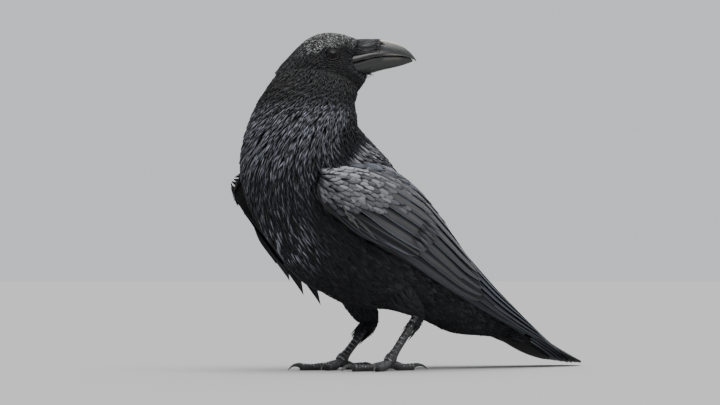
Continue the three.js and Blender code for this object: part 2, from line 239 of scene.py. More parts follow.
thigh_at = keyed([
    # share of the way down; the left and the right thigh's radius, and below the heel the leg's
    (0, 25, 25),
    (0.25, 22.5, 22.5),
    (0.5, 17.5, 17),
    (0.75, 11, 14),
    (0.9, 7.8, 12),
    (1, 6.4, 10.5),
    (1.2, 5.8, 8.2),
    (1.5, 5.2, 5.2),
])
KNEE = np.array([0.5, 0.42, 0.5])  # how far down the thigh's middle is on each axis
HEEL_AHEAD = {"left": 0, "right": 4}  # how far the feathers' end lies ahead of the joint


def thigh_radius(side, t):
    """A thigh's radius, which is larger at the right heel, where its feathers hang over."""
    return thigh_at(t)[0 if side == "left" else 1]


def thigh(side):
    """A tapering limb from the flank to the heel, bent forward at the knee: round, about a line
    that is a cubic through its three points and goes on half way down the shank."""
    top, heel = np.array(THIGH_TOP[side], float), np.array(HEEL[side], float)
    heel[1] = heel[1] - HEEL_AHEAD[side]
    knee = lerp(top, heel, KNEE)
    shank = lerp(heel, np.array([*FOOT[side], FOOT_HEIGHT], float), 0.5)
    spine = keyed([(0, *top), (0.5, *knee), (1, *heel), (1.5, *shank)])

    def surface(t, angle, sink=0):
        at = np.moveaxis(spine(t), 0, -1)
        way = unit(np.moveaxis(spine(t + 0.01) - spine(t - 0.01), 0, -1) + 1e-9 * UP)
        across = unit(np.stack([-way[..., 1], way[..., 0], 0 * way[..., 0]], -1))
        ring = col(np.cos(angle)) * across + col(np.sin(angle)) * np.cross(way, across)
        return at + col(thigh_radius(side, t) - sink) * ring

    return surface


wing_at = keyed([
    # a; lower edge, upper edge, bow of the middle, thickness
    (0, -6, 7, 0, 5),
    (14, -20, 26, 3, 10),
    (42, -28, 50, 8, 13),
    (80, -30, 64, 12.5, 14),
    (130, -27, 66, 15, 13),
    (180, -23, 53, 14.5, 11),
    (230, -20, 36, 12, 9),
    (280, -15, 22, 8.5, 7),
    (330, -10, 13, 5, 5.5),
    (370, -7, 8, 2, 4.5),
    (396, -4.5, 5, 0.5, 3.2),
    (408, -1.5, 1.5, 0, 2),
])
WRAP_TOP = 50  # how far the upper edge turns in over the back
WRAP_LOW = 7  # how far the lower edge turns in, and how much more its rim is tucked
TUCK = 8
TUCK_FROM = 0.35  # the share of the height below which it turns in
HANG_AT = 150  # where along the wing the drooping one hangs lowest, and for how long
HANG_LENGTH = 70
WIDEST = 62  # the height of wing that wraps fully

for wing in WINGS.values():
    wing["bend"], wing["tip"] = np.array(wing["bend"], float), np.array(wing["tip"], float)
    wing["along"] = unit(wing["tip"] - wing["bend"])
    wing["up"] = unit(UP - wing["along"] * wing["along"][2])
    wing["out"] = np.cross(wing["along"], wing["up"]) * wing["side"]


def hanging(wing, a):
    """How many times deeper than a tight wing this one's lower edge hangs at a."""
    return 1 + wing["hang"] * bump(a, HANG_AT, HANG_LENGTH)


def folded(wing):
    """A folded wing's outer face: a from the bend to the tip and a share from the lower edge to
    the upper one. The lower half climbs straight, the upper half turns in over the back as a
    quarter of an ellipse, and the lower edge tucks in with the powers of its nearness."""

    def surface(a, share, sink=0):
        low, high, bow, _ = wing_at(a)
        hang = hanging(wing, a)
        turn = np.maximum((share - 0.5) / 0.5, 0) * (PI / 2)
        base = np.maximum((TUCK_FROM - share) / TUCK_FROM, 0)
        middle = lerp(low * hang, high, 0.5)
        h = np.where(share > 0.5, lerp(middle, high, np.sin(turn)), lerp(low * hang, middle, 2 * share))
        under = (WRAP_LOW * base**2 + TUCK * base**8) / hang**2
        over = WRAP_TOP * (1 - np.cos(turn))
        out = bow - (over + under) * np.minimum((high - low) / WIDEST, 1) - sink
        return wing["bend"] + col(a) * wing["along"] + col(h) * wing["up"] + col(out) * wing["out"]

    return surface


tail_at = keyed([
    # t; half width, thickness, sag of the outer feathers
    (0, 20, 12, 3),
    (0.25, 28, 10, 6),
    (0.5, 32, 7, 8),
    (0.75, 33.5, 5, 7),
    (0.88, 32, 4, 4),
    (0.95, 23, 3.2, 1.5),
    (1, 7, 2.4, 0),
])
TAIL_WIDTH = 33.5


def tail(t, x, sink=0):
    """The tail's upper face at x across: a line from root to tip that bends a little, less a sag
    that grows with the square of x."""
    _, thickness, sag = tail_at(t)
    y = lerp(TAIL_ROOT[0], TAIL_TIP[0], t)
    z = lerp(TAIL_ROOT[1], TAIL_TIP[1], t + TAIL_BEND * np.sin(PI * np.clip(t, 0, 1)))
    z = z - sag * (x / TAIL_WIDTH) ** 2 + thickness / 2 - sink
    return np.stack([x + 0 * t, y + 0 * x, z], -1)


upper_at = keyed([
    # f; ridge, cutting edge, half width of the upper bill
    (12, 15.5, -8.6, 12.5),
    (22, 16.8, -6.8, 13.6),
    (31, 17.3, -4.2, 13.0),
    (40, 17.4, -1.4, 11.8),
    (52, 17.0, 0.3, 10.0),
    (62, 15.2, 0.8, 8.3),
    (70, 12.0, 0.5, 6.7),
    (77, 7.6, -0.5, 4.9),
    (82, 3.0, -1.9, 3.1),
    (85.2, -0.9, -3.6, 1.7),
    (86.6, -3.3, -4.9, 0.6),
])
lower_at = keyed([
    # f; cutting edge, underside, half width of the lower bill
    (12, -9.4, -21.5, 12.0),
    (22, -7.6, -20.6, 12.2),
    (31, -5.0, -19.2, 11.2),
    (40, -2.2, -17.2, 10.0),
    (52, -0.5, -13.8, 8.4),
    (62, 0.0, -11.6, 6.9),
    (70, -0.3, -9.6, 5.3),
    (77, -1.3, -7.4, 3.6),
    (81.5, -2.7, -5.7, 2.0),
    (83, -3.6, -5.0, 0.9),
])


def bill_cover(side):
    """Where the nasal bristles lie: round one side of the upper bill, the angle counted up from
    its cutting edge, and outside it by the sink's negative."""

    def surface(f, angle, sink=0):
        ridge, edge, width = upper_at(f)
        s = (width - sink) * np.cos(angle)
        return in_head(f, side * s, edge + (ridge - edge - sink) * np.sin(angle))

    return surface


def chin(f, angle, sink=0.0):
    """Round the underside of the lower bill, the angle counted from straight down."""
    edge, under, width = lower_at(f)
    return in_head(f, (width - sink) * np.sin(angle), edge - (edge - under - sink) * np.cos(angle))


# ---------------------------------------------------------------- from arrays to pieces
def eye_middle(side):
    """The centre of an eyeball, in the part's millimetres."""
    return in_head(EYE_AHEAD, side * EYE_OUT, 0)


def middle_of(node):
    """The middle of a node's box, in metres."""
    low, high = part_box(node)
    return (np.array(low) + np.array(high)) / 2


SHIFT = (middle_of("eye_left") + middle_of("eye_right")) / 2 - in_head(EYE_AHEAD, 0, 0) * MM


def placed(points):
    """The part's millimetres as the frame's metres."""
    return points * MM + SHIFT


def make_piece(name, points, faces, material, nodes=(), uvs=None, values=None):
    """One mesh from points in the part's millimetres and faces of three or four corners, with UV
    maps and float attributes given for each point, riding on the still body."""
    mesh = bpy.data.meshes.new(name)
    corners = faces.shape[1]
    mesh.vertices.add(len(points))
    mesh.vertices.foreach_set("co", placed(points).astype(np.float32).ravel())
    mesh.loops.add(faces.size)
    mesh.loops.foreach_set("vertex_index", faces.astype(np.int32).ravel())
    mesh.polygons.add(len(faces))
    mesh.polygons.foreach_set("loop_start", np.arange(0, faces.size, corners, dtype=np.int32))
    mesh.polygons.foreach_set("loop_total", np.full(len(faces), corners, np.int32))
    mesh.update(calc_edges=True)
    mesh.polygons.foreach_set("use_smooth", np.full(len(faces), True))
    for label, uv in (uvs or {}).items():
        layer = mesh.uv_layers.new(name=label)
        layer.data.foreach_set("uv", uv[faces.ravel()].astype(np.float32).ravel())
    for label, value in (values or {}).items():
        attribute = mesh.attributes.new(label, "FLOAT", "POINT")
        attribute.data.foreach_set("value", value.astype(np.float32))
    mesh.materials.append(material)
    mesh.validate()
    piece = bpy.data.objects.new(name, mesh)
    bpy.context.scene.collection.objects.link(piece)
    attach(piece, "root")
    if nodes:
        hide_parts(*nodes)
    return piece


def tube(rings):
    """A closed skin through rings (row, corner, xyz), with a middle point and a fan at each end:
    points, triangles, and the share along and round of each point."""
    rows, sides = rings.shape[:2]
    points = np.vstack([rings.reshape(-1, 3), rings[0].mean(0)[None], rings[-1].mean(0)[None]])
    at = np.arange(rows * sides).reshape(rows, sides)
    here, there = at[:-1], at[1:]
    next_here, next_there = np.roll(here, -1, 1), np.roll(there, -1, 1)
    walls = [np.stack([here, next_here, next_there], -1), np.stack([here, next_there, there], -1)]
    start, end = rows * sides, rows * sides + 1
    first, last = at[0], at[-1]
    ends = [
        np.stack([np.roll(first, -1), first, np.full(sides, start)], -1),
        np.stack([last, np.roll(last, -1), np.full(sides, end)], -1),
    ]
    faces = np.vstack([w.reshape(-1, 3) for w in walls] + ends)
    along = np.append(np.repeat(np.linspace(0, 1, rows), sides), [0, 1])
    round_it = np.append(np.tile(np.arange(sides) / sides, rows), [0, 0])
    corner = points[faces]
    if np.einsum("ij,ij->", np.cross(corner[:, 0], corner[:, 1]), corner[:, 2] - points.mean(0)) < 0:
        faces = faces[:, ::-1]
    return points, faces, along, round_it


def shells_joined(parts):
    """Several (points, faces) as one."""
    counts = np.cumsum([0] + [len(p) for p, _ in parts[:-1]])
    return np.vstack([p for p, _ in parts]), np.vstack([f + c for (_, f), c in zip(parts, counts)])


# ---------------------------------------------------------------- feathers
BAKE_PATCH = 0.003  # how much of the OFBake map a feather's patch takes
BAKE_RIM = 0.001  # how far every patch stays from the map's rim
# For each kind of surface, the small steps that measure its slope, and the lowest and highest
# p and q, which its OFBake map spreads over 0 to 1.
STEPS = {"body": (0.02, 0.02), "mantle": (0.02, 0.02), "head": (0.4, 0.02), "thigh": (0.01, 0.02),
         "wing": (0.8, 0.01), "tail": (0.004, 0.4), "bill": (0.4, 0.02), "chin": (0.4, 0.02)}
SPANS = {"body": (0, 13, 0, TURN), "mantle": (0, 13, -PI, PI), "head": (-60, 38, 0, TURN),
         "thigh": (0, 1.3, 0, TURN), "wing": (-20, 420, 0, 1), "bill": (0, 60, -0.2, 1.8),
         "chin": (0, 60, -1.6, 1.6)}


def tangents(surface, kind, p, q):
    """How the surface moves with p and with q, by small steps either way, and its outward normal."""
    dp, dq = STEPS[kind]
    by_p = (surface(p + dp, q) - surface(p - dp, q)) / (2 * dp)
    by_q = (surface(p, q + dq) - surface(p, q - dq)) / (2 * dq)
    normal = unit(np.cross(by_p, by_q))
    inward = surface(p, q, 1.0) - surface(p, q)
    return by_p, by_q, np.where(dot(normal, inward) > 0, -normal, normal)


def scatter(surface, p_range, q_range, along, across, rng, jitter=0.3):
    """Roots in rows over the surface, each row shifted by half a place from the last. Rows are
    along mm apart and roots across mm apart in a row, both numbers or functions of p, and each
    root is then moved a little."""
    along, across = (gap if callable(gap) else by_place((0,), (gap,)) for gap in (along, across))
    guide = np.linspace(*p_range, 241)
    ribs = surface(guide[:, None], np.linspace(*q_range, 25)[None, :])
    steps = np.linalg.norm(np.diff(ribs, axis=0), axis=-1).mean(1)
    count = np.append(0, np.cumsum(steps / along((guide[1:] + guide[:-1]) / 2)))
    rows = np.interp(np.arange(0.5, count[-1]), count, guide)
    row_step = np.gradient(rows) if len(rows) > 1 else np.zeros(1)
    found = []
    for i, (p, step) in enumerate(zip(rows, row_step)):
        q_guide = np.linspace(*q_range, 181)
        rim = surface(np.full_like(q_guide, p), q_guide)
        run = np.append(0, np.cumsum(np.linalg.norm(np.diff(rim, axis=0), axis=-1))) / across(p)
        q = np.interp(np.arange(0.25 + 0.5 * (i % 2), run[-1]), run, q_guide)
        q_step = np.gradient(q) if len(q) > 1 else np.zeros(len(q))
        q = q + q_step * rng.uniform(-jitter, jitter, len(q))
        found.append(np.stack([p + step * rng.uniform(-jitter, jitter, len(q)), q], -1))
    return np.vstack(found).T


def laid(surface, kind, p, q, heading, length, u, sink):
    """Centre lines that start at each root and run over the surface on a heading, an angle from
    the way of growing p, for a length in mm. sink(u) is the depth under the surface there."""
    by_p, by_q, normal = tangents(surface, kind, p, q)
    ahead = unit(by_p)
    way = col(np.cos(heading)) * ahead + col(np.sin(heading)) * np.cross(normal, ahead)
    pp, qq, pq = dot(by_p, by_p), dot(by_q, by_q), dot(by_p, by_q)
    wp, wq = dot(way, by_p), dot(way, by_q)
    area = pp * qq - pq * pq
    run = col(length) * u
    ps = col(p) + (wp * qq - wq * pq) / area * run
    qs = col(q) + (wq * pp - wp * pq) / area * run
    return surface(ps, qs, sink), tangents(surface, kind, ps, qs)[2]


def blade_faces(rows, columns):
    """The triangles of one closed blade: rows of a ring that goes over the upper face's columns
    and back under, with its two ends closed."""
    ring = 2 * columns - 2
    at = np.arange(rows * ring).reshape(rows, ring)
    here, there = at[:-1], at[1:]
    next_here, next_there = np.roll(here, -1, 1), np.roll(there, -1, 1)
    walls = np.concatenate([
        np.stack([here, there, next_there], -1).reshape(-1, 3),
        np.stack([here, next_there, next_here], -1).reshape(-1, 3),
    ])
    top = np.arange(columns)
    low = (ring - top) % ring
    low[-1] = columns - 1
    cap = np.concatenate([
        np.stack([top[:-1], top[1:], low[1:]], -1),
        np.stack([top[:-1], low[1:], low[:-1]], -1),
    ])
    cap = cap[(cap[:, 0] != cap[:, 1]) & (cap[:, 1] != cap[:, 2]) & (cap[:, 0] != cap[:, 2])]
    return np.vstack([walls, cap, cap[:, ::-1] + (rows - 1) * ring])


SHAFT = 0.15  # the shaft's width as a share of the vane's


def blades(points, outs, half, u, columns, arch, thick, roll, bake, tone, gloss, lap=2.0):
    """Closed blades round centre lines (feather, row, xyz). Across, v runs from -1 to 1: a point
    lies half * v to the side and arch * half * v squared down, and the two faces part by the
    thickness times one less v squared, with a ridge for the shaft at v = 0. The lap is the
    share across, from the lower edge, at which the next feather covers this one."""
    count, rows = points.shape[:2]
    way = unit(np.gradient(points, axis=1))
    side = unit(np.cross(outs, way))
    turn = np.broadcast_to(np.asarray(roll, float).reshape(-1, 1, 1), (count, rows, 1))
    side, lift = np.cos(turn) * side + np.sin(turn) * outs, np.cos(turn) * outs - np.sin(turn) * side
    v = np.linspace(-1, 1, columns)
    under = v[-2:0:-1]
    v_ring = np.append(v, under)
    face = np.append(np.ones(columns), -np.ones(columns - 2))
    width = half[..., None]
    arch, thick = (np.broadcast_to(x, (count, rows))[..., None] for x in (arch, thick))
    body_of = thick / 2 * (1 - v_ring**2) * face
    shaft = thick * 0.5 * bump(v_ring, 0, SHAFT) * (face > 0)
    drop = arch * width * v_ring**2
    ring = (
        points[:, :, None]
        + side[:, :, None] * (width * v_ring)[..., None]
        + lift[:, :, None] * (body_of + shaft - drop)[..., None]
    )
    ring_size = len(v_ring)
    starts = np.arange(count) * rows * ring_size
    faces = (blade_faces(rows, columns)[None] + starts[:, None, None]).reshape(-1, 3)
    shape = (count, rows, ring_size)
    across = np.broadcast_to((v_ring + 1) / 2, shape).ravel()
    along = np.broadcast_to(np.asarray(u)[None, :, None], shape).ravel()
    patch = np.stack([across - 0.5, along - 0.5], -1) * BAKE_PATCH
    home = np.broadcast_to(bake[:, None, None, :], shape + (2,)).reshape(-1, 2)
    return {
        "points": ring.reshape(-1, 3),
        "faces": faces,
        "vane": np.stack([across, along], -1),
        "bake": np.clip(home + patch, BAKE_RIM, 1 - BAKE_RIM),
        "tone": np.repeat(tone, rows * ring_size),
        "gloss": np.repeat(np.broadcast_to(gloss, count), rows * ring_size),
        "lap": np.broadcast_to(np.broadcast_to(lap, (count, rows))[..., None], shape).ravel(),
    }


def outline(u, widest, point, root=0.35):
    """A vane's share of its full half width: from the root's share it eases to 1 at the widest
    place, then falls as one less the power of the way left. A high point makes a rounded tip."""
    rise = lerp(root, 1, ease(u, 0, widest))
    left = np.clip((u - widest) / (1 - widest), 0, 1)
    return np.maximum(rise * (1 - left**point) ** (1 if point < 2 else 0.5), 0.03)


FLARE = 1.6  # the power with which a feather comes up out of the coat
ROOTWARD = 0.85  # under 1, a blade's rows stand closer towards its tip


def feathers(surface, kind, p, q, rng, *, stray, length, width, root, tip, rows, widest, point,
             thick, twist, gloss, heading=0, columns=3, arch=0.25, shade=1.0):
    """A tract of feathers as blades. Each lies on its heading, give or take the stray, and comes
    up from the root's depth to the tip's depth with the power flare of the way left."""
    n = len(p)
    u = np.linspace(0, 1, rows) ** ROOTWARD
    length = np.broadcast_to(length, n) * rng.uniform(0.85, 1.15, n)
    width = np.broadcast_to(width, n) * rng.uniform(0.88, 1.12, n)
    root = np.broadcast_to(root, n)[:, None]
    tip = np.broadcast_to(tip, n)[:, None] + rng.normal(0, 0.15, n)[:, None]
    sink = root * (1 - u) ** FLARE + tip * u
    points, outs = laid(surface, kind, p, q, heading + rng.normal(0, stray, n), length, u, sink)
    half = col(width / 2) * outline(u, widest, point)
    low_p, high_p, low_q, high_q = SPANS[kind]
    home = np.stack([(p - low_p) / (high_p - low_p), (q - low_q) / (high_q - low_q)], -1)
    roll = rng.normal(0, twist, n)
    # shade under 1 darkens a feather's tone, as a painted shadow
    tone = shade * rng.uniform(0, 1, n)
    return blades(points, outs, half, u, columns, arch, thick, roll, home, tone, gloss)


# gloss, for each feather, is how much painted sheen and painted edge highlight it carries; lap is where the
# next feather covers it
VALUES = ("tone", "gloss", "lap")


def plumage(name, tracts, material, nodes=()):
    """Tracts of blades joined as one piece, with its vane and OFBake maps."""
    points, faces = shells_joined([(t["points"], t["faces"]) for t in tracts])
    stacked = {key: np.concatenate([t[key] for t in tracts]) for key in ("vane", "bake", *VALUES)}
    uvs = {"vane": stacked["vane"], "OFBake": stacked["bake"]}
    values = {key: stacked[key] for key in VALUES}
    print(f"{name}: {len(faces)} triangles")
    return make_piece(name, points, faces, material, nodes, uvs, values)


# ---------------------------------------------------------------- nodes and materials
def put(tree, kind, inputs=None, **settings):
    """A node with its settings made and each input linked or given its value."""
    node = tree.nodes.new(kind)
    for key, value in settings.items():
        setattr(node, key, value)
    for key, value in (inputs or {}).items():
        if isinstance(value, bpy.types.NodeSocket):
            tree.links.new(value, node.inputs[key])
        else:
            node.inputs[key].default_value = value
    return node


def calc(tree, operation, a, b=0.0, clamp=False):
    """One sum of two numbers."""
    return put(tree, "ShaderNodeMath", {0: a, 1: b}, operation=operation, use_clamp=clamp).outputs[0]


def product(tree, first, *others, clamp=False):
    """Numbers multiplied one after another, the last time with its result held from 0 to 1."""
    for i, other in enumerate(others, 1):
        first = calc(tree, "MULTIPLY", first, other, clamp and i == len(others))
    return first


def blend(tree, share, a, b):
    """The number that is the share of the way from a to b."""
    return put(tree, "ShaderNodeMix", {0: share, 2: a, 3: b}, data_type="FLOAT").outputs[0]


def blend_colour(tree, share, a, b, way="MIX"):
    """Two colours mixed by a share."""
    return put(tree, "ShaderNodeMix", {0: share, 6: a, 7: b}, data_type="RGBA", blend_type=way).outputs[2]


def shaded(tree, colour, strength):
    """A colour with each of its parts multiplied by a number."""
    return blend_colour(tree, 1.0, colour, strength, "MULTIPLY")


def ramp(tree, value, low, high, to_low=0.0, to_high=1.0):
    """A value moved smoothly from one range to another, and held at its ends."""
    inputs = {0: value, 1: low, 2: high, 3: to_low, 4: to_high}
    return put(tree, "ShaderNodeMapRange", inputs, interpolation_type="SMOOTHSTEP").outputs[0]


def noise(tree, where, scale, detail=3.0, stretch=None):
    """A soft noise from 0 to 1 about a half."""
    if stretch:
        where = put(tree, "ShaderNodeMapping", {"Vector": where, "Scale": stretch}).outputs[0]
    return put(tree, "ShaderNodeTexNoise", {"Vector": where, "Scale": scale, "Detail": detail}).outputs["Fac"]


def own_place(tree):
    """A place in the piece's own metres."""
    return put(tree, "ShaderNodeTexCoord").outputs["Object"]


def own_map(tree, label):
    """A place on one of the piece's own maps."""
    return put(tree, "ShaderNodeUVMap", uv_map=label).outputs[0]


def parts_of(tree, place):
    """The first two parts of a place: across and along, or round and out."""
    return put(tree, "ShaderNodeSeparateXYZ", {0: place}).outputs[:2]


def value_of(tree, label):
    """A float attribute of the piece."""
    return put(tree, "ShaderNodeAttribute", attribute_name=label).outputs["Fac"]


def rgb(red, green, blue):
    """A colour that covers fully."""
    return (red, green, blue, 1.0)


def new_group(name, inputs, outputs):
    """An empty shader group with named inputs (name: default) and outputs: the tree and its ends."""
    tree = bpy.data.node_groups.new(name, "ShaderNodeTree")
    kinds = {float: "NodeSocketFloat", tuple: "NodeSocketColor"}
    for label, default in inputs.items():
        socket = tree.interface.new_socket(label, in_out="INPUT", socket_type=kinds[type(default)])
        socket.default_value = default
    for label, kind in outputs.items():
        tree.interface.new_socket(label, in_out="OUTPUT", socket_type=kinds[kind])
    return tree, tree.nodes.new("NodeGroupInput").outputs, tree.nodes.new("NodeGroupOutput").inputs


# Shine is the colour of a painted sheen, Trim that of a painted highlight along the lower edge; a dark Edge
# is painted shade round a feather, a pale one its worn edge.
VANE_INPUTS = {
    "Base": rgb(0.02, 0.02, 0.02), "Shine": rgb(0.1, 0.1, 0.1), "Edge": rgb(0.01, 0.01, 0.01),
    "Trim": rgb(0.1, 0.1, 0.1), "Edge Width": 0.2, "Edge Share": 0.5, "Trim Share": 0.0, "Reach": 0.3,
    "Fill": 0.35, "Vary": 0.35, "Barbs": 40.0, "Slant": 5.0, "Dull": 0.55, "Glossy": 0.35,
}


def feather_group():
    """A vane's finish: a base that varies from feather to feather, a painted sheen down its middle
    where the coat is glossy, an edge of its own colour, which is painted shade round the feather
    where it is dark and a worn edge where it is pale, a painted shadow where the next feather laps
    over it with a painted highlight along its lower edge, and slanting barbs with a shaft as height."""
    outputs = {"Color": tuple, "Roughness": float, "Height": float}
    tree, given, out = new_group("feather_vane", VANE_INPUTS, outputs)
    across, along = parts_of(tree, own_map(tree, "vane"))
    tone, gloss, lap = (value_of(tree, label) for label in VALUES)
    v = product(tree, calc(tree, "SUBTRACT", across, 0.5), 2.0)
    v = calc(tree, "ABSOLUTE", v)

    patchy = ramp(tree, noise(tree, own_place(tree), 45.0), 0.3, 0.7, 0.75, 1.25)
    lines = {0: product(tree, across, 9.0), 1: along, 2: product(tree, tone, 60.0)}
    lines = put(tree, "ShaderNodeCombineXYZ", lines).outputs[0]
    streaks = ramp(tree, noise(tree, lines, 2.2, 4.0), 0.32, 0.68, 0.72, 1.28)
    shade = product(tree, patchy, streaks, ramp(tree, tone, 0.0, 1.0, 0.65, 1.35))
    base = shaded(tree, given["Base"], shade)

    # painted sheen: down the vane's middle, beyond the reach along it, as much as the feather's gloss
    middle = calc(tree, "SUBTRACT", 1.0, ramp(tree, v, given["Fill"], 0.98))
    outer = ramp(tree, along, given["Reach"], calc(tree, "ADD", given["Reach"], 0.4))
    varied = ramp(tree, tone, 0.0, 1.0, given["Vary"], 1.0)
    painted_sheen = product(tree, middle, outer, gloss, varied, streaks, clamp=True)
    colour = blend_colour(tree, painted_sheen, base, given["Shine"])

    # the edge colour round the vane and at its tip: dark where it is painted shade, pale on the worn feathers
    inner = calc(tree, "SUBTRACT", 1.0, given["Edge Width"])
    rim = calc(tree, "MAXIMUM", ramp(tree, v, inner, 1.0), ramp(tree, along, inner, 1.0))
    colour = blend_colour(tree, product(tree, rim, given["Edge Share"]), colour, given["Edge"])
    # painted shadow where the next feather laps over this one
    painted_overlap_shadow = ramp(tree, across, product(tree, lap, 0.62), product(tree, lap, 0.92), 1.0, 0.1)
    colour = shaded(tree, colour, painted_overlap_shadow)
    # a painted highlight along the lower edge, as much as the feather's gloss
    low_edge = ramp(tree, across, 0.03, 0.13, 1.0, 0.0)
    painted_edge_highlight = product(tree, given["Trim Share"], gloss, low_edge)
    tree.links.new(blend_colour(tree, painted_edge_highlight, colour, given["Trim"]), out["Color"])

    phase = calc(tree, "SUBTRACT", product(tree, along, given["Barbs"]), product(tree, v, given["Slant"]))
    barb = calc(tree, "SINE", product(tree, phase, TURN))
    rough = blend(tree, painted_sheen, given["Dull"], given["Glossy"])
    tree.links.new(calc(tree, "ADD", rough, product(tree, barb, 0.05)), out["Roughness"])
    shaft = ramp(tree, v, 0.0, 0.08, 1.0, 0.0)
    tree.links.new(calc(tree, "ADD", product(tree, barb, 0.5), shaft), out["Height"])
    return tree


def new_material(name, **settings):
    """A material with its shader's own sockets set: the material, its tree and its shader."""
    material = bpy.data.materials.new(name)
    material.use_nodes = True
    shader = material.node_tree.nodes["Principled BSDF"]
    for label, value in settings.items():
        shader.inputs[label.replace("_", " ")].default_value = value
    return material, material.node_tree, shader


def add_relief(tree, shader, height, depth, strength=1.0):
    """A height in metres that tilts the shader's normal."""
    bump_node = put(tree, "ShaderNodeBump", {"Height": height, "Distance": depth, "Strength": strength})
    tree.links.new(bump_node.outputs[0], shader.inputs["Normal"])


BARB_DEPTH = 0.00012


def feather_material(name, coat, **inputs):
    """A plumage finish: the coat's shader settings, the vane group with its own values, and its
    height as a relief."""
    material, tree, shader = new_material(name, **coat)
    vane = put(tree, "ShaderNodeGroup", node_tree=VANE)
    for label, value in inputs.items():
        value = rgb(*value) if isinstance(value, tuple) else value
        vane.inputs[label.replace("_", " ")].default_value = value
    tree.links.new(vane.outputs["Color"], shader.inputs["Base Color"])
    tree.links.new(vane.outputs["Roughness"], shader.inputs["Roughness"])
    add_relief(tree, shader, vane.outputs["Height"], BARB_DEPTH, 0.5)
    return material


def skin_material():
    """Dark down under the coat: a soft noise in tone and height."""
    material, tree, shader = new_material("down", Roughness=0.8)
    soft = noise(tree, own_place(tree), 900.0)
    colour = blend_colour(tree, soft, rgb(0.008, 0.008, 0.009), rgb(0.016, 0.016, 0.018))
    tree.links.new(colour, shader.inputs["Base Color"])
    add_relief(tree, shader, soft, 0.0006)
    return material


def horn_material(name, deep, worn, grain):
    """Horn: dark, mixed towards the worn colour by the piece's rim value, which is partly worn horn
    and partly a painted highlight, a painted deep shadow where that value is below nothing, fine
    growth lines across its length and scratches along it."""
    material, tree, shader = new_material(name, Specular_IOR_Level=0.55, Coat_Weight=0.12, Coat_Roughness=0.2)
    cloud = noise(tree, own_place(tree), 160.0)
    fine = noise(tree, own_map(tree, "shape"), grain, 4.0, (6.0, 1.0, 1.0))
    rim = value_of(tree, "rim")
    colour = blend_colour(tree, cloud, rgb(*deep), rgb(*(1.7 * part for part in deep)))
    # worn horn and painted highlight, by the rim value above nothing
    wear_and_painted_light = product(tree, rim, ramp(tree, fine, 0.3, 0.7, 0.5, 1.0), clamp=True)
    colour = blend_colour(tree, wear_and_painted_light, colour, rgb(*worn))
    # painted shadow, by the rim value below nothing
    colour = shaded(tree, colour, ramp(tree, rim, -0.9, 0.0, 0.1, 1.0))
    tree.links.new(colour, shader.inputs["Base Color"])
    tree.links.new(ramp(tree, cloud, 0.3, 0.7, 0.3, 0.44), shader.inputs["Roughness"])
    add_relief(tree, shader, fine, 0.0002, 0.45)
    return material


def leg_material():
    """Scaled skin of the legs: dark in the furrows, pale grey on the plates' crests: a painted
    highlight, made patchy by dust.
    """
    material, tree, shader = new_material("leg_scales", Specular_IOR_Level=0.5)
    place = own_place(tree)
    dust = noise(tree, place, 420.0, 5.0)
    # crest: a painted highlight on the plates' crests, patchy with dust
    crest = product(tree, value_of(tree, "rim"), ramp(tree, dust, 0.4, 0.65), clamp=True)
    colour = blend_colour(tree, crest, rgb(0.022, 0.022, 0.024), rgb(0.34, 0.34, 0.36))
    cells = put(tree, "ShaderNodeTexVoronoi", {"Vector": place, "Scale": 900.0}, feature="DISTANCE_TO_EDGE")
    pores = ramp(tree, cells.outputs[0], 0.0, 0.12)
    colour = shaded(tree, colour, ramp(tree, pores, 0, 1, 0.7, 1.0))
    tree.links.new(colour, shader.inputs["Base Color"])
    tree.links.new(ramp(tree, dust, 0.3, 0.7, 0.36, 0.6), shader.inputs["Roughness"])
    add_relief(tree, shader, pores, 0.00015, 0.6)
    return material


PUPIL = (0.115, 0.125)  # the shares of the way over the ball where the pupil ends
IRIS = (0.2, 0.225)  # and where the iris ends


def eye_material():
    """A wet dark eye: a black pupil, a deep brown iris with fine rays, and a black rim."""
    settings = {"Roughness": 0.05, "IOR": 1.36, "Specular_IOR_Level": 0.35}
    material, tree, shader = new_material("wet_eye", **settings)
    place = own_map(tree, "shape")
    out = parts_of(tree, place)[1]
    rays = noise(tree, place, 30.0, 4.0, (3.0, 0.4, 1.0))
    iris = blend_colour(tree, rays, rgb(0.003, 0.002, 0.0015), rgb(0.013, 0.008, 0.005))
    colour = blend_colour(tree, ramp(tree, out, *PUPIL), rgb(0.001, 0.001, 0.001), iris)
    colour = blend_colour(tree, ramp(tree, out, *IRIS), colour, rgb(0.004, 0.003, 0.003))
    tree.links.new(colour, shader.inputs["Base Color"])
    return material


def lid_material():
    """Bare skin round the eye: small grains, and a paler margin by the rim value."""
    material, tree, shader = new_material("lid_skin", Specular_IOR_Level=0.16)
    cells = put(tree, "ShaderNodeTexVoronoi", {"Vector": own_place(tree), "Scale": 1300.0})
    grains = cells.outputs["Distance"]
    colour = blend_colour(tree, value_of(tree, "rim"), rgb(0.005, 0.005, 0.0055), rgb(0.32, 0.32, 0.33))
    tree.links.new(colour, shader.inputs["Base Color"])
    tree.links.new(ramp(tree, grains, 0.1, 0.6, 0.4, 0.6), shader.inputs["Roughness"])
    add_relief(tree, shader, grains, -0.0003, 0.7)
    return material


VANE = feather_group()
SOFT_COAT = {"Specular_IOR_Level": 0.3, "Sheen_Weight": 0.06, "Sheen_Roughness": 0.5,
             "Sheen_Tint": rgb(0.5, 0.55, 0.75)}
SLEEK_COAT = {"Specular_IOR_Level": 0.28, "Specular_Tint": rgb(0.8, 0.86, 1.0)}
DULL_COAT = {"Specular_IOR_Level": 0.14}
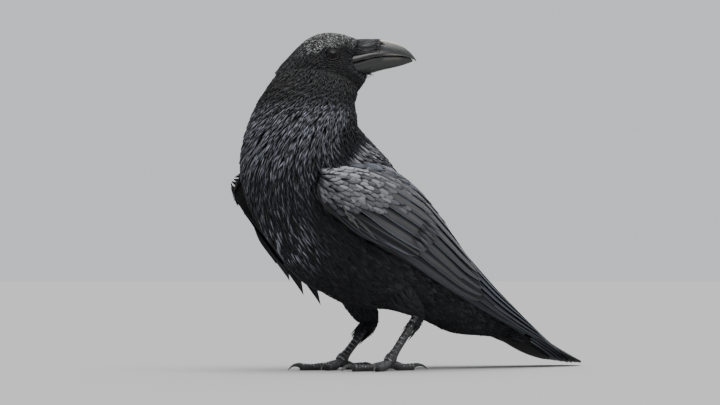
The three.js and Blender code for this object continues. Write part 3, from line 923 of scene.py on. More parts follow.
# The Shine colours are painted sheen, and the Trim colours painted highlights along the feathers' lower
# edges; the dark Edge colours are painted shade round each feather, while the worn feathers' pale Edge is
# their worn rim.
PLUMAGE = feather_material(
    "plumage", SOFT_COAT, Base=(0.009, 0.009, 0.0092), Shine=(0.26, 0.275, 0.325), Edge=(0.008, 0.008, 0.009),
    Edge_Width=0.35, Edge_Share=0.6, Barbs=26.0, Slant=5.0, Dull=0.6, Glossy=0.34,
)
FACE = feather_material(
    "face_feathers", SOFT_COAT, Base=(0.0095, 0.0095, 0.0095), Shine=(0.6, 0.6, 0.61),
    Edge=(0.006, 0.006, 0.006), Edge_Width=0.3, Edge_Share=0.45, Barbs=8.0, Slant=2.0, Dull=0.55,
    Glossy=0.34, Reach=0.2,
)
FLIGHT = feather_material(
    "flight_feathers", SLEEK_COAT, Base=(0.01, 0.01, 0.012), Shine=(0.11, 0.12, 0.15),
    Edge=(0.008, 0.008, 0.01), Trim=(0.62, 0.7, 0.85), Edge_Width=0.1, Edge_Share=0.4, Trim_Share=0.85,
    Barbs=90.0, Slant=7.0, Dull=0.45, Glossy=0.36, Reach=0.05, Fill=0.6,
)
TAIL = feather_material(
    "tail_feathers", DULL_COAT, Base=(0.005, 0.005, 0.0055), Shine=(0.03, 0.032, 0.038),
    Edge=(0.004, 0.004, 0.0045), Trim=(0.4, 0.44, 0.52), Edge_Width=0.1, Edge_Share=0.4, Trim_Share=0.8,
    Barbs=90.0, Slant=7.0, Dull=0.6, Glossy=0.45, Reach=0.05, Fill=0.6,
)
BAND = feather_material(
    "wing_bands", SLEEK_COAT, Base=(0.012, 0.0118, 0.0125), Shine=(0.1, 0.098, 0.102),
    Edge=(0.008, 0.008, 0.008), Trim=(0.3, 0.33, 0.4), Edge_Width=0.08, Edge_Share=0.5, Trim_Share=0.7,
    Barbs=70.0, Slant=7.0, Dull=0.48, Glossy=0.38, Reach=0.0, Fill=0.7, Vary=0.5,
)
COVERT = feather_material(
    "wing_coverts", SLEEK_COAT, Base=(0.02, 0.02, 0.023), Shine=(0.36, 0.355, 0.39), Edge=(0.01, 0.01, 0.012),
    Edge_Width=0.13, Edge_Share=0.85, Barbs=30.0, Slant=5.0, Dull=0.5, Glossy=0.4, Fill=0.45, Vary=0.35,
    Reach=0.15,
)
SCAPULAR = feather_material(
    "scapulars", SLEEK_COAT, Base=(0.011, 0.0115, 0.0135), Shine=(0.15, 0.165, 0.205),
    Edge=(0.006, 0.006, 0.007), Edge_Width=0.22, Edge_Share=0.85, Barbs=40.0, Slant=6.0, Dull=0.5,
    Glossy=0.36, Fill=0.3,
)
WORN = feather_material(
    "worn_feathers", SLEEK_COAT, Base=(0.03, 0.029, 0.028), Shine=(0.12, 0.118, 0.11),
    Edge=(0.2, 0.19, 0.175), Trim=(0.42, 0.4, 0.36), Edge_Width=0.3, Edge_Share=0.6, Trim_Share=0.8,
    Barbs=30.0,
)
BRISTLE = feather_material(
    "bristles", SOFT_COAT, Base=(0.012, 0.012, 0.013), Shine=(0.29, 0.29, 0.3), Edge=(0.01, 0.01, 0.011),
    Barbs=6.0, Dull=0.5, Glossy=0.36, Reach=0.1,
)
DOWN = skin_material()
# The bill's worn colour is cream: along the ridge and lip it stands for a painted highlight, on the edges
# near the front and at the tip for worn horn.
BILL = horn_material("bill_horn", (0.013, 0.0135, 0.0145), (0.5, 0.46, 0.38), 34.0)
CLAW = horn_material("claw_horn", (0.012, 0.012, 0.013), (0.1, 0.095, 0.09), 20.0)
LEG = leg_material()
WET_EYE = eye_material()
LID = lid_material()


# ---------------------------------------------------------------- the skin
def coat_depth(t):
    """How deep the coat is on the body at station t: full on the breast, thin on the neck."""
    return np.interp(t, [0, 2, 5, 8, 10, 12], [3, 7, 9, 8, 5.5, 3])


def head_coat(f):
    """The same on the head at f: more round the bill's root, so that the horn stands free."""
    return 2.4 + 1.6 * ease(f, 14, 24)


def thigh_coat(side, t):
    """The same on the thigh: 3 mm, and less where it is thin."""
    return np.minimum(3.0, 0.35 * thigh_radius(side, t))


SKIN_VOXEL = 0.0028  # in metres
BODY_SPAN = (0.1, 12.6)  # stations, f and shares of the thigh between which the skin is drawn
HEAD_SPAN = (-57, 33)
THIGH_SPAN = (0, 0.97)


def skin_surface():
    """Body, head and thighs sunk by their coats' depths, each closed."""
    angle = round_columns(48)
    t, f, down = down_rows(*BODY_SPAN, 90), down_rows(*HEAD_SPAN, 60), down_rows(*THIGH_SPAN, 30)
    forms = [body(t, angle, coat_depth(t)), head(f, angle, head_coat(f))]
    forms += [thigh(side)(down, angle, thigh_coat(side, down)) for side in HEEL]
    return shells_joined([tube(form)[:2] for form in forms])


def make_skin():
    """One skin: the sunk surfaces united by a voxel remesh and smoothed."""
    points, faces = skin_surface()
    piece = make_piece("skin", points, faces, DOWN)
    remesh = piece.modifiers.new("unite", "REMESH")
    remesh.mode, remesh.voxel_size, remesh.use_smooth_shade = "VOXEL", SKIN_VOXEL, True
    soften = piece.modifiers.new("soften", "SMOOTH")
    soften.factor, soften.iterations = 0.5, 4
    bpy.context.view_layer.update()
    made = bpy.data.meshes.new_from_object(piece.evaluated_get(bpy.context.evaluated_depsgraph_get()))
    piece.modifiers.clear()
    piece.data = made
    made.name = "skin"
    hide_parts("head", "neck", "trunk", "thigh_left", "thigh_right")
    return piece


SKIN = make_skin()
SKIN_TREE = BVHTree.FromObject(SKIN, bpy.context.evaluated_depsgraph_get())


def open_air(points, depth):
    """Which root points, in the part's mm, lie no deeper than the given mm inside the skin."""
    inside = np.zeros(len(points))
    for i, point in enumerate(placed(points)):
        near, normal, _, _ = SKIN_TREE.find_nearest(Vector(point))
        inside[i] = (near - Vector(point)).dot(normal)
    return inside < depth * MM


WING_OUT = 12  # how far to the side a wing's cover starts
WING_COVER = (16, 330)  # between which a it covers the body
WING_MARGIN = 7  # how far inside its edges


def under_wing(points):
    """Which points lie under a folded wing, by their place along and up its sheet."""
    covered = np.zeros(len(points), bool)
    for wing in WINGS.values():
        away = points - wing["bend"]
        a, h = away @ wing["along"], away @ wing["up"]
        low, high, _, _ = wing_at(a)
        beside = points[:, 0] * wing["side"] > WING_OUT
        behind = (a > WING_COVER[0]) & (a < WING_COVER[1])
        covered |= beside & behind & (h > low * hanging(wing, a) + WING_MARGIN) & (h < high - WING_MARGIN)
    return covered


# ---------------------------------------------------------------- the coat of the head and body
def eye_gap(points, reach):
    """Which points are further than the reach from both eyes' middles."""
    left = np.linalg.norm(points - eye_middle(1), axis=-1)
    right = np.linalg.norm(points - eye_middle(-1), axis=-1)
    return np.minimum(left, right) > reach


FACE_LEVELS = (-26, -20, -14, -8, -4, 4, 12, 18)  # k
FACE_FRONTS = (37, 33, 24, 16, 20, 22, 25, 27)  # f where the feathers give way to the bill there
EYE_CLEAR = 9.8  # how far from an eye's middle the feathers start
PAINTED_LORE_SHADOW = ((15, 8), (6, 7))  # the middle and reach, in f and in k, of the painted shadow in front of the eye, under the crown's overhang
RUFF = ((-26, 9), (-15, 10))  # and of a few lifted feathers behind the cheek
RUFF_SHARE = 0.25
SCALES = ((4, 11), (-34, -8))  # between which k, and which f, hair turns into round scales, which also carry more painted sheen
NEAR_EYE = (6, 15)  # from the eye's middle, where feathers grow from their shortest share
NEAR_EYE_SHARE = 0.42
NAPE_END = (-52, -42)  # between which f the last feathers are tucked in
NAPE_LONG = (-34, -10)  # between which f those behind grow longer
CHEEK_TURN = (-34, 12)  # between which f the lie turns down towards the neck, and how far
CHEEK_TURN_BY = 0.95

# The spacing of feathers in mm by their place: f on the head, t on the body and the thighs.
face_gap = by_place((-18, 0, 20, 38), (1.6, 1.35, 1.25, 1.2))
nape_gap = by_place((-60, -18), (2.2, 1.6))
neck_gap = by_place((9.9, 11.7), (2.3, 1.7))
hackle_gap = by_place((6.3, 8, 10, 10.7), (4.6, 3.7, 2.7, 2.4))
trunk_gap = by_place((0, 2, 5, 8), (6.0, 7.5, 8.5, 7.0))
strand_gap = by_place((0, 2, 5, 8), (2.8, 3.0, 3.2, 3.0))
thigh_gap = by_place((0, 0.6, 1), (3.4, 2.7, 1.9))


def head_tract(rng, f_range, size):
    """Small close feathers from the bill's base back to the nape: round scales over the eye, and
    fine hair-like ones on the cheek, which turn down towards the neck. Those beside the eye
    are short, and the last ones are short and tucked in. The scales towards the crown carry
    more painted sheen, and in front of the eye the feathers are darkened as a painted shadow."""
    f, angle = scatter(head, f_range, (0, TURN), lambda x: size(x) * 0.95, size, rng)
    roots = head(f, angle)
    away = roots - EYE_CENTRE
    k, along = away[:, 2], away @ BILL_WAY
    front = np.interp(k, FACE_LEVELS, FACE_FRONTS) + rng.uniform(-1.0, 3.0, len(f))
    keep = open_air(roots, 1.0) & eye_gap(roots, EYE_CLEAR) & (along < front)
    f, angle, k, along = f[keep], angle[keep], k[keep], along[keep]
    n = len(f)
    s = size(f)
    scaly = ease(k, *SCALES[0]) * ease(f, *SCALES[1])
    last = 1 - ease(f, *NAPE_END)
    beside = lerp(NEAR_EYE_SHARE, 1, ease(np.hypot(along, k), *NEAR_EYE)) * lerp(1, 0.5, last)
    painted_lore_shadow = bump(along, *PAINTED_LORE_SHADOW[0]) * bump(k, *PAINTED_LORE_SHADOW[1])
    ruff = bump(along, *RUFF[0]) * bump(k, *RUFF[1]) * (rng.random(n) < RUFF_SHARE)
    turned = CHEEK_TURN_BY * (1 - ease(f, *CHEEK_TURN)) * np.cos(angle)
    long = s * lerp(5.0, 2.7, scaly) * beside * (1 + 0.5 * (1 - ease(f, *NAPE_LONG)))
    # painted sheen: most on the scales of the crown, where the light from above falls, none in the painted
    # shadow in front of the eye, and some on the ruff
    gloss = lerp(0.04, 1.0, scaly) * rng.random(n) * (1 - painted_lore_shadow) + ruff * 0.35
    return feathers(
        head, "head", f, angle, rng, heading=PI - turned, stray=0.13, length=long,
        width=s * lerp(1.2, 1.55, scaly), root=head_coat(f), tip=lerp(0.15, -0.3, scaly) - 0.5 * ruff + last,
        rows=5, widest=0.55, point=2, arch=col(lerp(0.1, 0.4, scaly)), thick=0.2, twist=0.08,
        gloss=np.clip(gloss, 0, 1), shade=1 - painted_lore_shadow,
    )


def body_roots(t_range, size, rng, squash=1.0):
    """Roots on the body between two stations, without those inside the head or under a wing."""
    t, angle = scatter(body, t_range, (0, TURN), lambda x: size(x) * squash, size, rng)
    roots = body(t, angle)
    keep = open_air(roots, 1.5) & ~under_wing(roots)
    return t[keep], angle[keep] % TURN


def frontness(angle):
    """1 on the throat and breast's front, easing to 0 round the sides of the back."""
    return 1 - ease(np.abs(((angle - 1.5 * PI + PI) % TURN) - PI), 0.45 * PI, 0.75 * PI)


def neck_tract(rng):
    """Fine dull hair-like feathers from under the head down to where the hackles begin."""
    t, angle = body_roots(NECK_STRETCH, neck_gap, rng, 1.1)
    s = neck_gap(t)
    return feathers(
        body, "body", t, angle, rng, heading=PI, stray=0.16, length=s * 6.0, width=s * 1.1,
        root=coat_depth(t), tip=-0.3 * rng.random(len(t)), rows=6, widest=0.45, point=1.6, arch=0.15,
        thick=0.25, twist=0.1, gloss=0.05 * rng.random(len(t)),
    )


hackle_reach = by_place((6.4, 7.2, 8.1, 8.6), (0.25, 0.5, 1.1, PI))  # how far round the painted sheen goes
GLOSS_ENDS = ((5.9, 6.9), (9.9, 10.7))  # the stations between which it comes and goes
FULL_GLOSS = (7.3, 8.7)  # and those between which it grows from its least share
LEAST_GLOSS = 0.3
BRIGHT_AT = ((7.05, 0.5), (0.1, 0.45))  # where a few are broad and carry a bright painted highlight: middle and reach
BRIGHT_SHARE = 0.4


def hackle_tract(rng):
    """Long pointed glossy feathers from the throat to the upper breast and round the neck, with a
    painted sheen, and a few broad ones at the breast's front with a bright painted highlight."""
    t, angle = body_roots(HACKLE_STRETCH, hackle_gap, rng, 1.1)
    n = len(t)
    s = hackle_gap(t)
    front = frontness(angle)
    aside = np.abs(angle - 1.5 * PI)
    reach = hackle_reach(t)
    band = ease(t, *GLOSS_ENDS[0]) * (1 - ease(t, *GLOSS_ENDS[1]))
    band = band * (1 - 0.9 * ease(aside, reach, reach + 0.5))
    bright = bump(t, *BRIGHT_AT[0]) * bump(aside, *BRIGHT_AT[1]) * (rng.random(n) < BRIGHT_SHARE)
    gloss = band * (0.5 + 0.5 * front) * (0.4 + 0.55 * rng.random(n) ** 0.7)
    gloss = gloss * lerp(LEAST_GLOSS, 1, ease(t, *FULL_GLOSS))
    return feathers(
        body, "body", t, angle, rng, heading=PI, stray=0.16, length=s * (5.2 + 1.6 * front + 1.5 * bright),
        width=s * (1.15 + 0.5 * bright), root=coat_depth(t), tip=-0.2 - 0.8 * rng.random(n) - 1.5 * bright,
        rows=6, widest=0.45, point=1.4, arch=0.5, thick=0.4, twist=0.3, gloss=gloss + 2 * bright,
    )


RUMP_LONG = (0.2, 1.4)  # stations between which the feathers over the tail's root are longer


def trunk_tract(rng, t_range):
    """Broad soft feathers that make the form of the trunk."""
    t, angle = body_roots(t_range, trunk_gap, rng, 0.9)
    s = trunk_gap(t)
    long = s * (4.0 + 2.5 * (1 - ease(t, *RUMP_LONG)))
    return feathers(
        body, "body", t, angle, rng, heading=PI, stray=0.12, length=long, width=s * 1.7, root=coat_depth(t),
        tip=0.6, rows=7, columns=5, widest=0.6, point=2, arch=0.35, thick=0.35, twist=0.12,
        gloss=0.1 * rng.random(len(t)),
    )


CALM = (2.6, 1.6)  # the middle and reach in t of the belly's smoother stretch


def strand_tract(rng, t_range):
    """Loose narrow ends of the trunk's feathers, which lie over its broad ones, and lie closer
    and wider under the belly."""
    t, angle = body_roots(t_range, strand_gap, rng)
    s = strand_gap(t)
    # back is 1 on the upper side, where the strands get more painted sheen, as the light from above would
    # give them
    back = np.clip(np.sin(angle), 0, 1)
    calm = bump(t, *CALM) * (1 - back)
    return feathers(
        body, "body", t, angle, rng, heading=PI, stray=0.22, length=s * 6.0, width=s * lerp(0.6, 0.75, calm),
        root=coat_depth(t) * 0.6, tip=-0.6 + 0.5 * calm, rows=6, widest=0.35, point=1.5, arch=0.4, thick=0.3,
        twist=0.35 * (1 - 0.7 * calm), gloss=(0.04 + 0.4 * back) * rng.random(len(t)),
    )


THIGH_REACH = (0.2, 1.2)  # shares of the way down, past the heel at 1
THIGH_SHORT = (0.9, 1.2)  # between which the feathers get shorter
THIGH_LOOSE = (0.6, 1.1)  # and between which their tips come loose


def thigh_tract(side, rng):
    """The thigh's close feathers, down to a ragged end below the heel."""
    surface = thigh(side)
    t, angle = scatter(surface, THIGH_REACH, (0, TURN), thigh_gap, thigh_gap, rng)
    keep = open_air(surface(t, angle), 1.0)
    t, angle = t[keep], angle[keep]
    s = thigh_gap(t)
    return feathers(
        surface, "thigh", t, angle, rng, stray=0.14, length=s * 5.2 * (1 - 0.45 * ease(t, *THIGH_SHORT)),
        width=s * 1.1, root=thigh_coat(side, t), tip=-0.2 - 1.2 * ease(t, *THIGH_LOOSE) * rng.random(len(t)),
        rows=6, widest=0.45, point=1.6, arch=0.4, thick=0.3, twist=0.2, gloss=0.12 * rng.random(len(t)),
    )


# Where each stretch begins and ends: f on the head, stations on the body.
FACE_STRETCH = (37, -16)
NAPE_STRETCH = (-16, -55)
NECK_STRETCH = (12.3, 9.9)
HACKLE_STRETCH = (10.7, 6.2)
TRUNK_STRETCHES = {"breast": (8.4, 5.2), "belly": (5.2, 2.6), "rump": (2.6, 0.2)}


def make_coat():
    """The contour feathers, one piece for each stretch of the body."""
    plumage("plumage_face", [head_tract(draw("face"), FACE_STRETCH, face_gap)], FACE)
    plumage("plumage_nape", [head_tract(draw("nape"), NAPE_STRETCH, nape_gap)], FACE)
    plumage("plumage_neck", [neck_tract(draw("neck"))], FACE)
    plumage("plumage_hackles", [hackle_tract(draw("hackles"))], PLUMAGE)
    for name, t_range in TRUNK_STRETCHES.items():
        rng = draw(name)
        plumage(f"plumage_{name}", [trunk_tract(rng, t_range)], PLUMAGE)
        plumage(f"strands_{name}", [strand_tract(rng, t_range)], PLUMAGE)
    for side in HEEL:
        plumage(f"plumage_thigh_{side}", [thigh_tract(side, draw(side))], PLUMAGE)


make_coat()


# ---------------------------------------------------------------- wings
LOWER_HALF = 0.36  # how much of a wing's girth lies below its middle
GIRTH = 1.32  # the girth over the wing as a share of its height


def share_of(girth):
    """A share of a wing's height from a share of its girth, which wraps more in the upper half."""
    upper = 0.5 + 0.5 * (girth - LOWER_HALF) / (1 - LOWER_HALF)
    return np.where(girth < LOWER_HALF, 0.5 * girth / LOWER_HALF, upper)


QUILL_START = 10  # what is added to a quill's start, and the length, for its OFBake place
QUILL_SPAN = 430
QUILL_TILT = 0.14  # how far a quill is rolled, so that its edge lies on the next one
QUILL_ARCH = 0.12
QUILL_THICK = 0.6
QUILL_COLUMNS = 7
RAGGED = 0.035  # how far a quill's edges wander, as a share of its width


def quills(wing, rng, *, start, end, edge, width, sink, widest, point, gloss, rows=26, stray=0.004):
    """Long folded feathers side by side. Each runs from its start to its end along the wing with
    its lower edge at its own share of the girth, and is tilted so that edge lies on the next."""
    surface = folded(wing)
    start, end, edge, sink = (np.asarray(x, float)[:, None] for x in (start, end, edge, sink))
    n = len(start)
    u = np.linspace(0, 1, rows)
    a = lerp(start, end, u)
    low, high, _, _ = wing_at(a)
    girth = (high - low * hanging(wing, a)) * GIRTH
    half = np.minimum(width, 0.85 * girth) / 2
    middle = np.clip(edge + half / girth, half / girth, 1 - half / girth)
    share = share_of(middle + rng.normal(0, stray, (n, 1)) * u)
    points = surface(a, share, sink + 0 * a)
    outs = tangents(surface, "wing", a, share)[2]
    waves = np.sin(u * rng.uniform(20, 34, (n, 1)) + rng.uniform(0, 6, (n, 1)))
    breadth = half * outline(u, widest, point, 0.5) * (1 + RAGGED * waves * ease(u, 0.5, 1))
    home = np.stack([(start[:, 0] + QUILL_START) / QUILL_SPAN, edge[:, 0]], -1)
    lap = np.clip(np.gradient(edge[:, 0])[:, None] * girth / (2 * half), 0.12, 2.0)
    tone = rng.uniform(0.2, 1, n)
    tilt = -QUILL_TILT * wing["side"]
    form = (QUILL_COLUMNS, QUILL_ARCH, QUILL_THICK, tilt)
    made = blades(points, outs, breadth, u, *form, home, tone, gloss, lap)
    if wing["side"] < 0:
        made["vane"] = made["vane"] * (-1, 1) + (1, 0)
    return made


# Where each kind of quill ends along the wing, from the lowest to the uppermost.
PRIMARY_TIPS = (372, 398, 408, 405, 394, 377, 356, 332, 306)
SECONDARY_TIPS = (262, 261, 257, 251, 243, 234, 223, 211, 198)
COVERT_TIPS = (152, 159, 163, 164, 160, 153, 144, 133, 121)
ALULA_TIPS = (104, 122, 138, 150)


def primaries(wing, rng):
    """The primaries, which reach the wing's tip."""
    i = np.arange(len(PRIMARY_TIPS))
    # the upper primaries get more painted sheen and painted edge highlight, where the light from above falls
    return quills(
        wing, rng, start=165 + 4 * i, end=PRIMARY_TIPS, edge=0.01 + 0.092 * i, width=16.0,
        sink=3.4 - 0.22 * i, rows=34, widest=0.5, point=2.0, gloss=lerp(0.12, 1, (i / len(i)) ** 1.3),
        stray=0.006,
    )


def secondaries(wing, rng):
    """The secondaries and the broad innermost ones over the rump."""
    i = np.arange(len(SECONDARY_TIPS))
    # the upper secondaries get more painted sheen and painted edge highlight, where the light from above
    # falls
    return quills(
        wing, rng, start=105 - 3 * i, end=SECONDARY_TIPS, edge=0.094 * i, width=20.0, sink=2.3 - 0.12 * i,
        widest=0.55, point=2.8, gloss=lerp(0.35, 1, i / len(i)),
    )


def greater_coverts(wing, rng):
    """The bands of greater coverts over the secondaries, and the alula along their lower edge."""
    i, j = np.arange(len(COVERT_TIPS)), np.arange(len(ALULA_TIPS))
    bands = quills(
        wing, rng, start=46 - i, end=COVERT_TIPS, edge=0.05 + 0.085 * i, width=17.5, sink=1.3 - 0.07 * i,
        widest=0.6, point=2.8, gloss=rng.uniform(0.7, 1, len(i)),
    )
    alula = quills(
        wing, rng, start=30 + 2 * j, end=ALULA_TIPS, edge=0.02 * j, width=11.0, sink=1.2 - 0.15 * j,
        widest=0.5, point=2.0, gloss=0.3,
    )
    return [bands, alula]


# Rows of small coverts: from and to a, their size, length as a share of it, and share of girth.
COVERT_ROWS = (
    ((-1, 12), 3.0, 4.0, (0.03, 0.9)),
    ((7, 42), 4.0, 5.2, (0.06, 0.97)),
    ((32, 66), 4.8, 5.8, (0.2, 0.97)),
    ((54, 84), 5.8, 6.2, (0.34, 0.88)),
)


COVERT_FADE = (34, 84)  # between which a the coverts' painted sheen fades


def small_coverts(wing, rng):
    """The scale-like rows in front: marginal, lesser and median coverts, which grow as they go
    back and give way to the bands along a slanting line, lower ones first."""
    surface = folded(wing)
    tracts = []
    for a_range, size, long, girth in COVERT_ROWS:
        a, share = scatter(surface, a_range, share_of(np.array(girth)), size * 2.0, size, rng, 0.16)
        # painted sheen: stronger on the upper coverts, which face the light from above, and fading further
        # back
        painted_covert_sheen = (1 - 0.6 * ease(a, *COVERT_FADE)) * lerp(0.5, 1, ease(share, 0.15, 0.6))
        tracts.append(feathers(
            surface, "wing", a, share, rng, stray=0.06, length=size * long, width=size * 1.45, root=2.4,
            tip=0.2, rows=9, columns=7, widest=0.6, point=2.0, arch=0.16, thick=0.35, twist=0.05,
            gloss=painted_covert_sheen * rng.uniform(0.5, 1, len(a)),
        ))
    return tracts


SHOULDER_SHAPE = {"rows": 9, "columns": 5, "widest": 0.6, "point": 1.9, "arch": 0.2, "thick": 0.4,
                  "twist": 0.06}


SCAPULAR_PLACES = ((20, 150), (0.76, 0.99))  # between which a, and which shares of the height


def scapulars(wing, rng):
    """The long feathers from the shoulder that hang over the wing's upper edge."""
    surface = folded(wing)
    a, share = scatter(surface, *SCAPULAR_PLACES, 8.0, 7.5, rng, 0.25)
    return feathers(
        surface, "wing", a, share, rng, heading=-0.1 * wing["side"], stray=0.07, length=38, width=11,
        root=2.0, tip=-1.0, gloss=rng.uniform(0.15, 1.0, len(a)), **SHOULDER_SHAPE,
    )


# The mantle's front and back: stations, angles from the left side up, gaps along and across, and
# how far the roots stray from their places, then the feathers' length and width.
MANTLE_ROOTS = (
    ((7.9, 6.9), (-0.03 * PI, 0.26 * PI), 7.5, 4.2, 0.2),
    ((8.0, 5.6), (0.22 * PI, 0.5 * PI), 9.0, 5.6, 0.25),
)
MANTLE_SIZES = ((22, 6.2), (30, 8.5))


def mantle(side, rng):
    """The shoulder's feathers, which lie from the neck's base down over the wing's upper edge."""
    roots = [scatter(body, *where, rng, jitter) for *where, jitter in MANTLE_ROOTS]
    tracts = []
    for (t, angle), (length, width) in zip(roots, MANTLE_SIZES):
        angle = angle if side > 0 else PI - angle
        tracts.append(feathers(
            body, "mantle", t, angle, rng, heading=PI + 0.55 * np.cos(angle), stray=0.08, length=length,
            width=width, root=3.0, tip=-1.2, gloss=rng.uniform(0.15, 0.9, len(t)), **SHOULDER_SHAPE,
        ))
    return tracts


def free_feathers(wing, starts, tips, lift, width, rng, gloss):
    """Loose feathers from their starts to their tips (a, h) on the wing's sheet, each a curve
    that leaves along the wing and then turns down, out from the sheet by the lift."""
    starts, tips = np.array(starts, float), np.array(tips, float)
    n = len(starts)
    u = np.linspace(0, 1, 18)
    bend = np.stack([lerp(starts[:, 0], tips[:, 0], 0.55), lerp(starts[:, 1], tips[:, 1], 0.3)], -1)
    path = (1 - u[:, None]) ** 2 * starts[:, None] + 2 * (u * (1 - u))[:, None] * bend[:, None]
    path = path + (u**2)[:, None] * tips[:, None]
    a, h = path[..., 0], path[..., 1]
    out = wing_at(a)[2] + lift * np.sin(PI * u) * 0.5 + lift * u
    points = wing["bend"] + col(a) * wing["along"] + col(h) * wing["up"] + col(out) * wing["out"]
    outs = np.broadcast_to(wing["out"], points.shape)
    half = width / 2 * outline(u, 0.5, 1.5, 0.4) + np.zeros((n, len(u)))
    home = np.stack([(starts[:, 0] + 20) / 440, 0.5 + starts[:, 1] / 200], -1)
    roll = rng.normal(0, 0.12, n)
    return blades(points, outs, half, u, 7, 0.25, 0.5, roll, home, rng.uniform(0.3, 1, n), gloss)


# Where, as a and h on the wing, the right wing's loose feathers start and end, and on each wing
# a few worn ones under the coverts and the ruffled ones among the bands.
LOOSE_STARTS = ((40, -18), (52, -20), (66, -22), (84, -22), (104, -20))
LOOSE_TIPS = ((98, -49), (121, -57), (144, -63), (168, -63), (196, -50))
WORN_STARTS = ((48, -18), (30, -13), (40, -19))
WORN_TIPS = ((86, -27), (48, -25), (62, -27.5))
RUFFLED_STARTS = ((132, -2), (134, 4), (135, 9), (137, 13), (138, 18), (140, 23))
RUFFLED_TIPS = ((152, -6), (156, 0), (158, 5), (160, 10), (162, 16), (163, 22))
BED_SINK = 4.2
BED_SPAN = (6, 345)  # the a between which the bed lies


def make_wing_bed(name, wing):
    """The wing's own flesh and the quills' roots: a thin closed sheet under the feathers."""
    surface = folded(wing)
    a, angle = down_rows(*BED_SPAN, 60), round_columns(40)
    room = np.maximum(wing_at(a)[3] - BED_SINK, 0.9)
    rings = surface(a, 0.04 + 0.92 * (1 - np.cos(angle)) / 2, BED_SINK + room * np.maximum(-np.sin(angle), 0))
    points, faces, _, _ = tube(rings)
    make_piece(f"wing_bed_{name}", points, faces, DOWN)


def make_wings():
    """Both wings from the bed outwards, with the feathers that hang over them from the shoulder
    and the ones out of place, and the loose ones of the right wing."""
    for name, wing in WINGS.items():
        rng = draw(f"wing {name}")
        make_wing_bed(name, wing)
        plumage(f"primaries_{name}", [primaries(wing, rng)], FLIGHT, [f"wing_primaries_{name}"])
        plumage(f"secondaries_{name}", [secondaries(wing, rng)], BAND, [f"wing_secondaries_{name}"])
        plumage(f"greater_coverts_{name}", greater_coverts(wing, rng), BAND, [f"wing_coverts_{name}"])
        plumage(f"small_coverts_{name}", small_coverts(wing, rng), COVERT)
        plumage(f"scapulars_{name}", [scapulars(wing, rng)], SCAPULAR)
        front, back = mantle(wing["side"], draw(f"mantle {name}"))
        plumage(f"shoulder_{name}", [front], COVERT)
        plumage(f"mantle_{name}", [back], SCAPULAR)
        ruffled = free_feathers(wing, RUFFLED_STARTS, RUFFLED_TIPS, 2.6, 3.4, rng, 0.9)
        plumage(f"ruffled_{name}", [ruffled], BAND)
        worn = free_feathers(wing, WORN_STARTS, WORN_TIPS, 0.4, 2.4, rng, 1.0)
        plumage(f"worn_{name}", [worn], WORN)
    loose = free_feathers(WINGS["right"], LOOSE_STARTS, LOOSE_TIPS, 1.6, 17.0, rng, 0.8)
    plumage("loose_right", [loose], BAND)


make_wings()


# ---------------------------------------------------------------- tail
TAIL_GLOSS = (0.5, 0.6, 0.7, 1.0, 1.8, 0.1)  # the painted sheen and painted edge highlight of each pair, from the middle outwards
TAIL_STEP = 4.5  # between the middles of neighbouring tail feathers
TAIL_FEATHER = 23.0  # their width
TAIL_LAYER = 0.72  # how much deeper each pair lies than the one inside it
TAIL_ENDS = (0.998, 0.0042)  # the middle pair's t, less the square of the pair times the second


def make_tail():
    """Six pairs of tail feathers, the middle pair longest and on top."""
    rng = draw("tail")
    pairs = len(TAIL_GLOSS)
    pair = np.tile(np.arange(pairs), 2)
    side = np.repeat([-1, 1], pairs)
    u = np.linspace(0, 1, 36)
    end = TAIL_ENDS[0] - TAIL_ENDS[1] * pair**2
    t = lerp(0.02, end[:, None], u)
    fan = lerp(0.5, 1, ease(t, 0, 0.5))
    x = side[:, None] * (1.5 + TAIL_STEP * pair[:, None]) * fan
    sink = 0.3 + TAIL_LAYER * pair[:, None] + 0.3 * (side[:, None] < 0) + 0 * t
    points = tail(t, x, sink)
    outs = tangents(tail, "tail", t, x)[2]
    half = TAIL_FEATHER / 2 * outline(u, 0.6, 2.6, 0.45) + 0 * t
    half = half * (1 + 0.03 * np.sin(u * rng.uniform(16, 30, (len(pair), 1))) * ease(u, 0.6, 1))
    home = np.stack([0.1 + 0 * pair, 0.5 + side * (0.05 + 0.07 * pair)], -1)
    tone = rng.uniform(0.3, 1, len(pair))
    gloss = np.array(TAIL_GLOSS)[pair]
    tract = blades(points, outs, half, u, 9, 0.06, 0.6, 0.02 * side, home, tone, gloss)
    plumage("tail_feathers", [tract], TAIL, ["tail"])


make_tail()


# ---------------------------------------------------------------- bill
BILL_ROOT = 9  # f where the bill's halves start, inside the head
BILL_HALVES = {"upper": (upper_at, 86.6, 1), "lower": (lower_at, 83.0, -1)}  # with its last f
# Forms on a half's section: height, middle and reach, from 0 at the edge to 1 at the ridge.
KEEL = (0.45, 1, 0.035)
LIP = (0.3, 0.08, 0.05)
LEDGE = (0.8, 0.15, 0.08)
GROOVE = (0.7, 0.34, 0.12)
NICK = (0.12, 0.02, 0.03)
# Paler marks in the same way: a painted highlight as a line over the upper edge, its worn rim, a
# painted highlight along the ridge, and on the lower half a pale line under the edge and a worn
# patch near the tip. Then how dark the painted shadow is in the gape and at the bristles' roots.
TOMIUM_HIGHLIGHT = (0.14, 0.17, 0.06)
EDGE_WEAR = (1, 0.04, 0.05)
CULMEN_HIGHLIGHT = (1.5, 1, 0.1)
LOWER_LINE = (0.09, 0.12, 0.05)
LOWER_PATCH = (0.2, 0.16, 0.14)
PAINTED_SHADOW_DEPTH = 1.2
# Between which f each comes or goes: the ledge, the groove, the nicks, the worn front, and the
# ridge's painted highlight.
LEDGE_END = (42, 54)
GROOVE_END = (45, 66)
NICKS_START = (40, 60)
FRONT = (46, 56)
CULMEN_HIGHLIGHT_ENDS = ((36, 46), (62, 80))


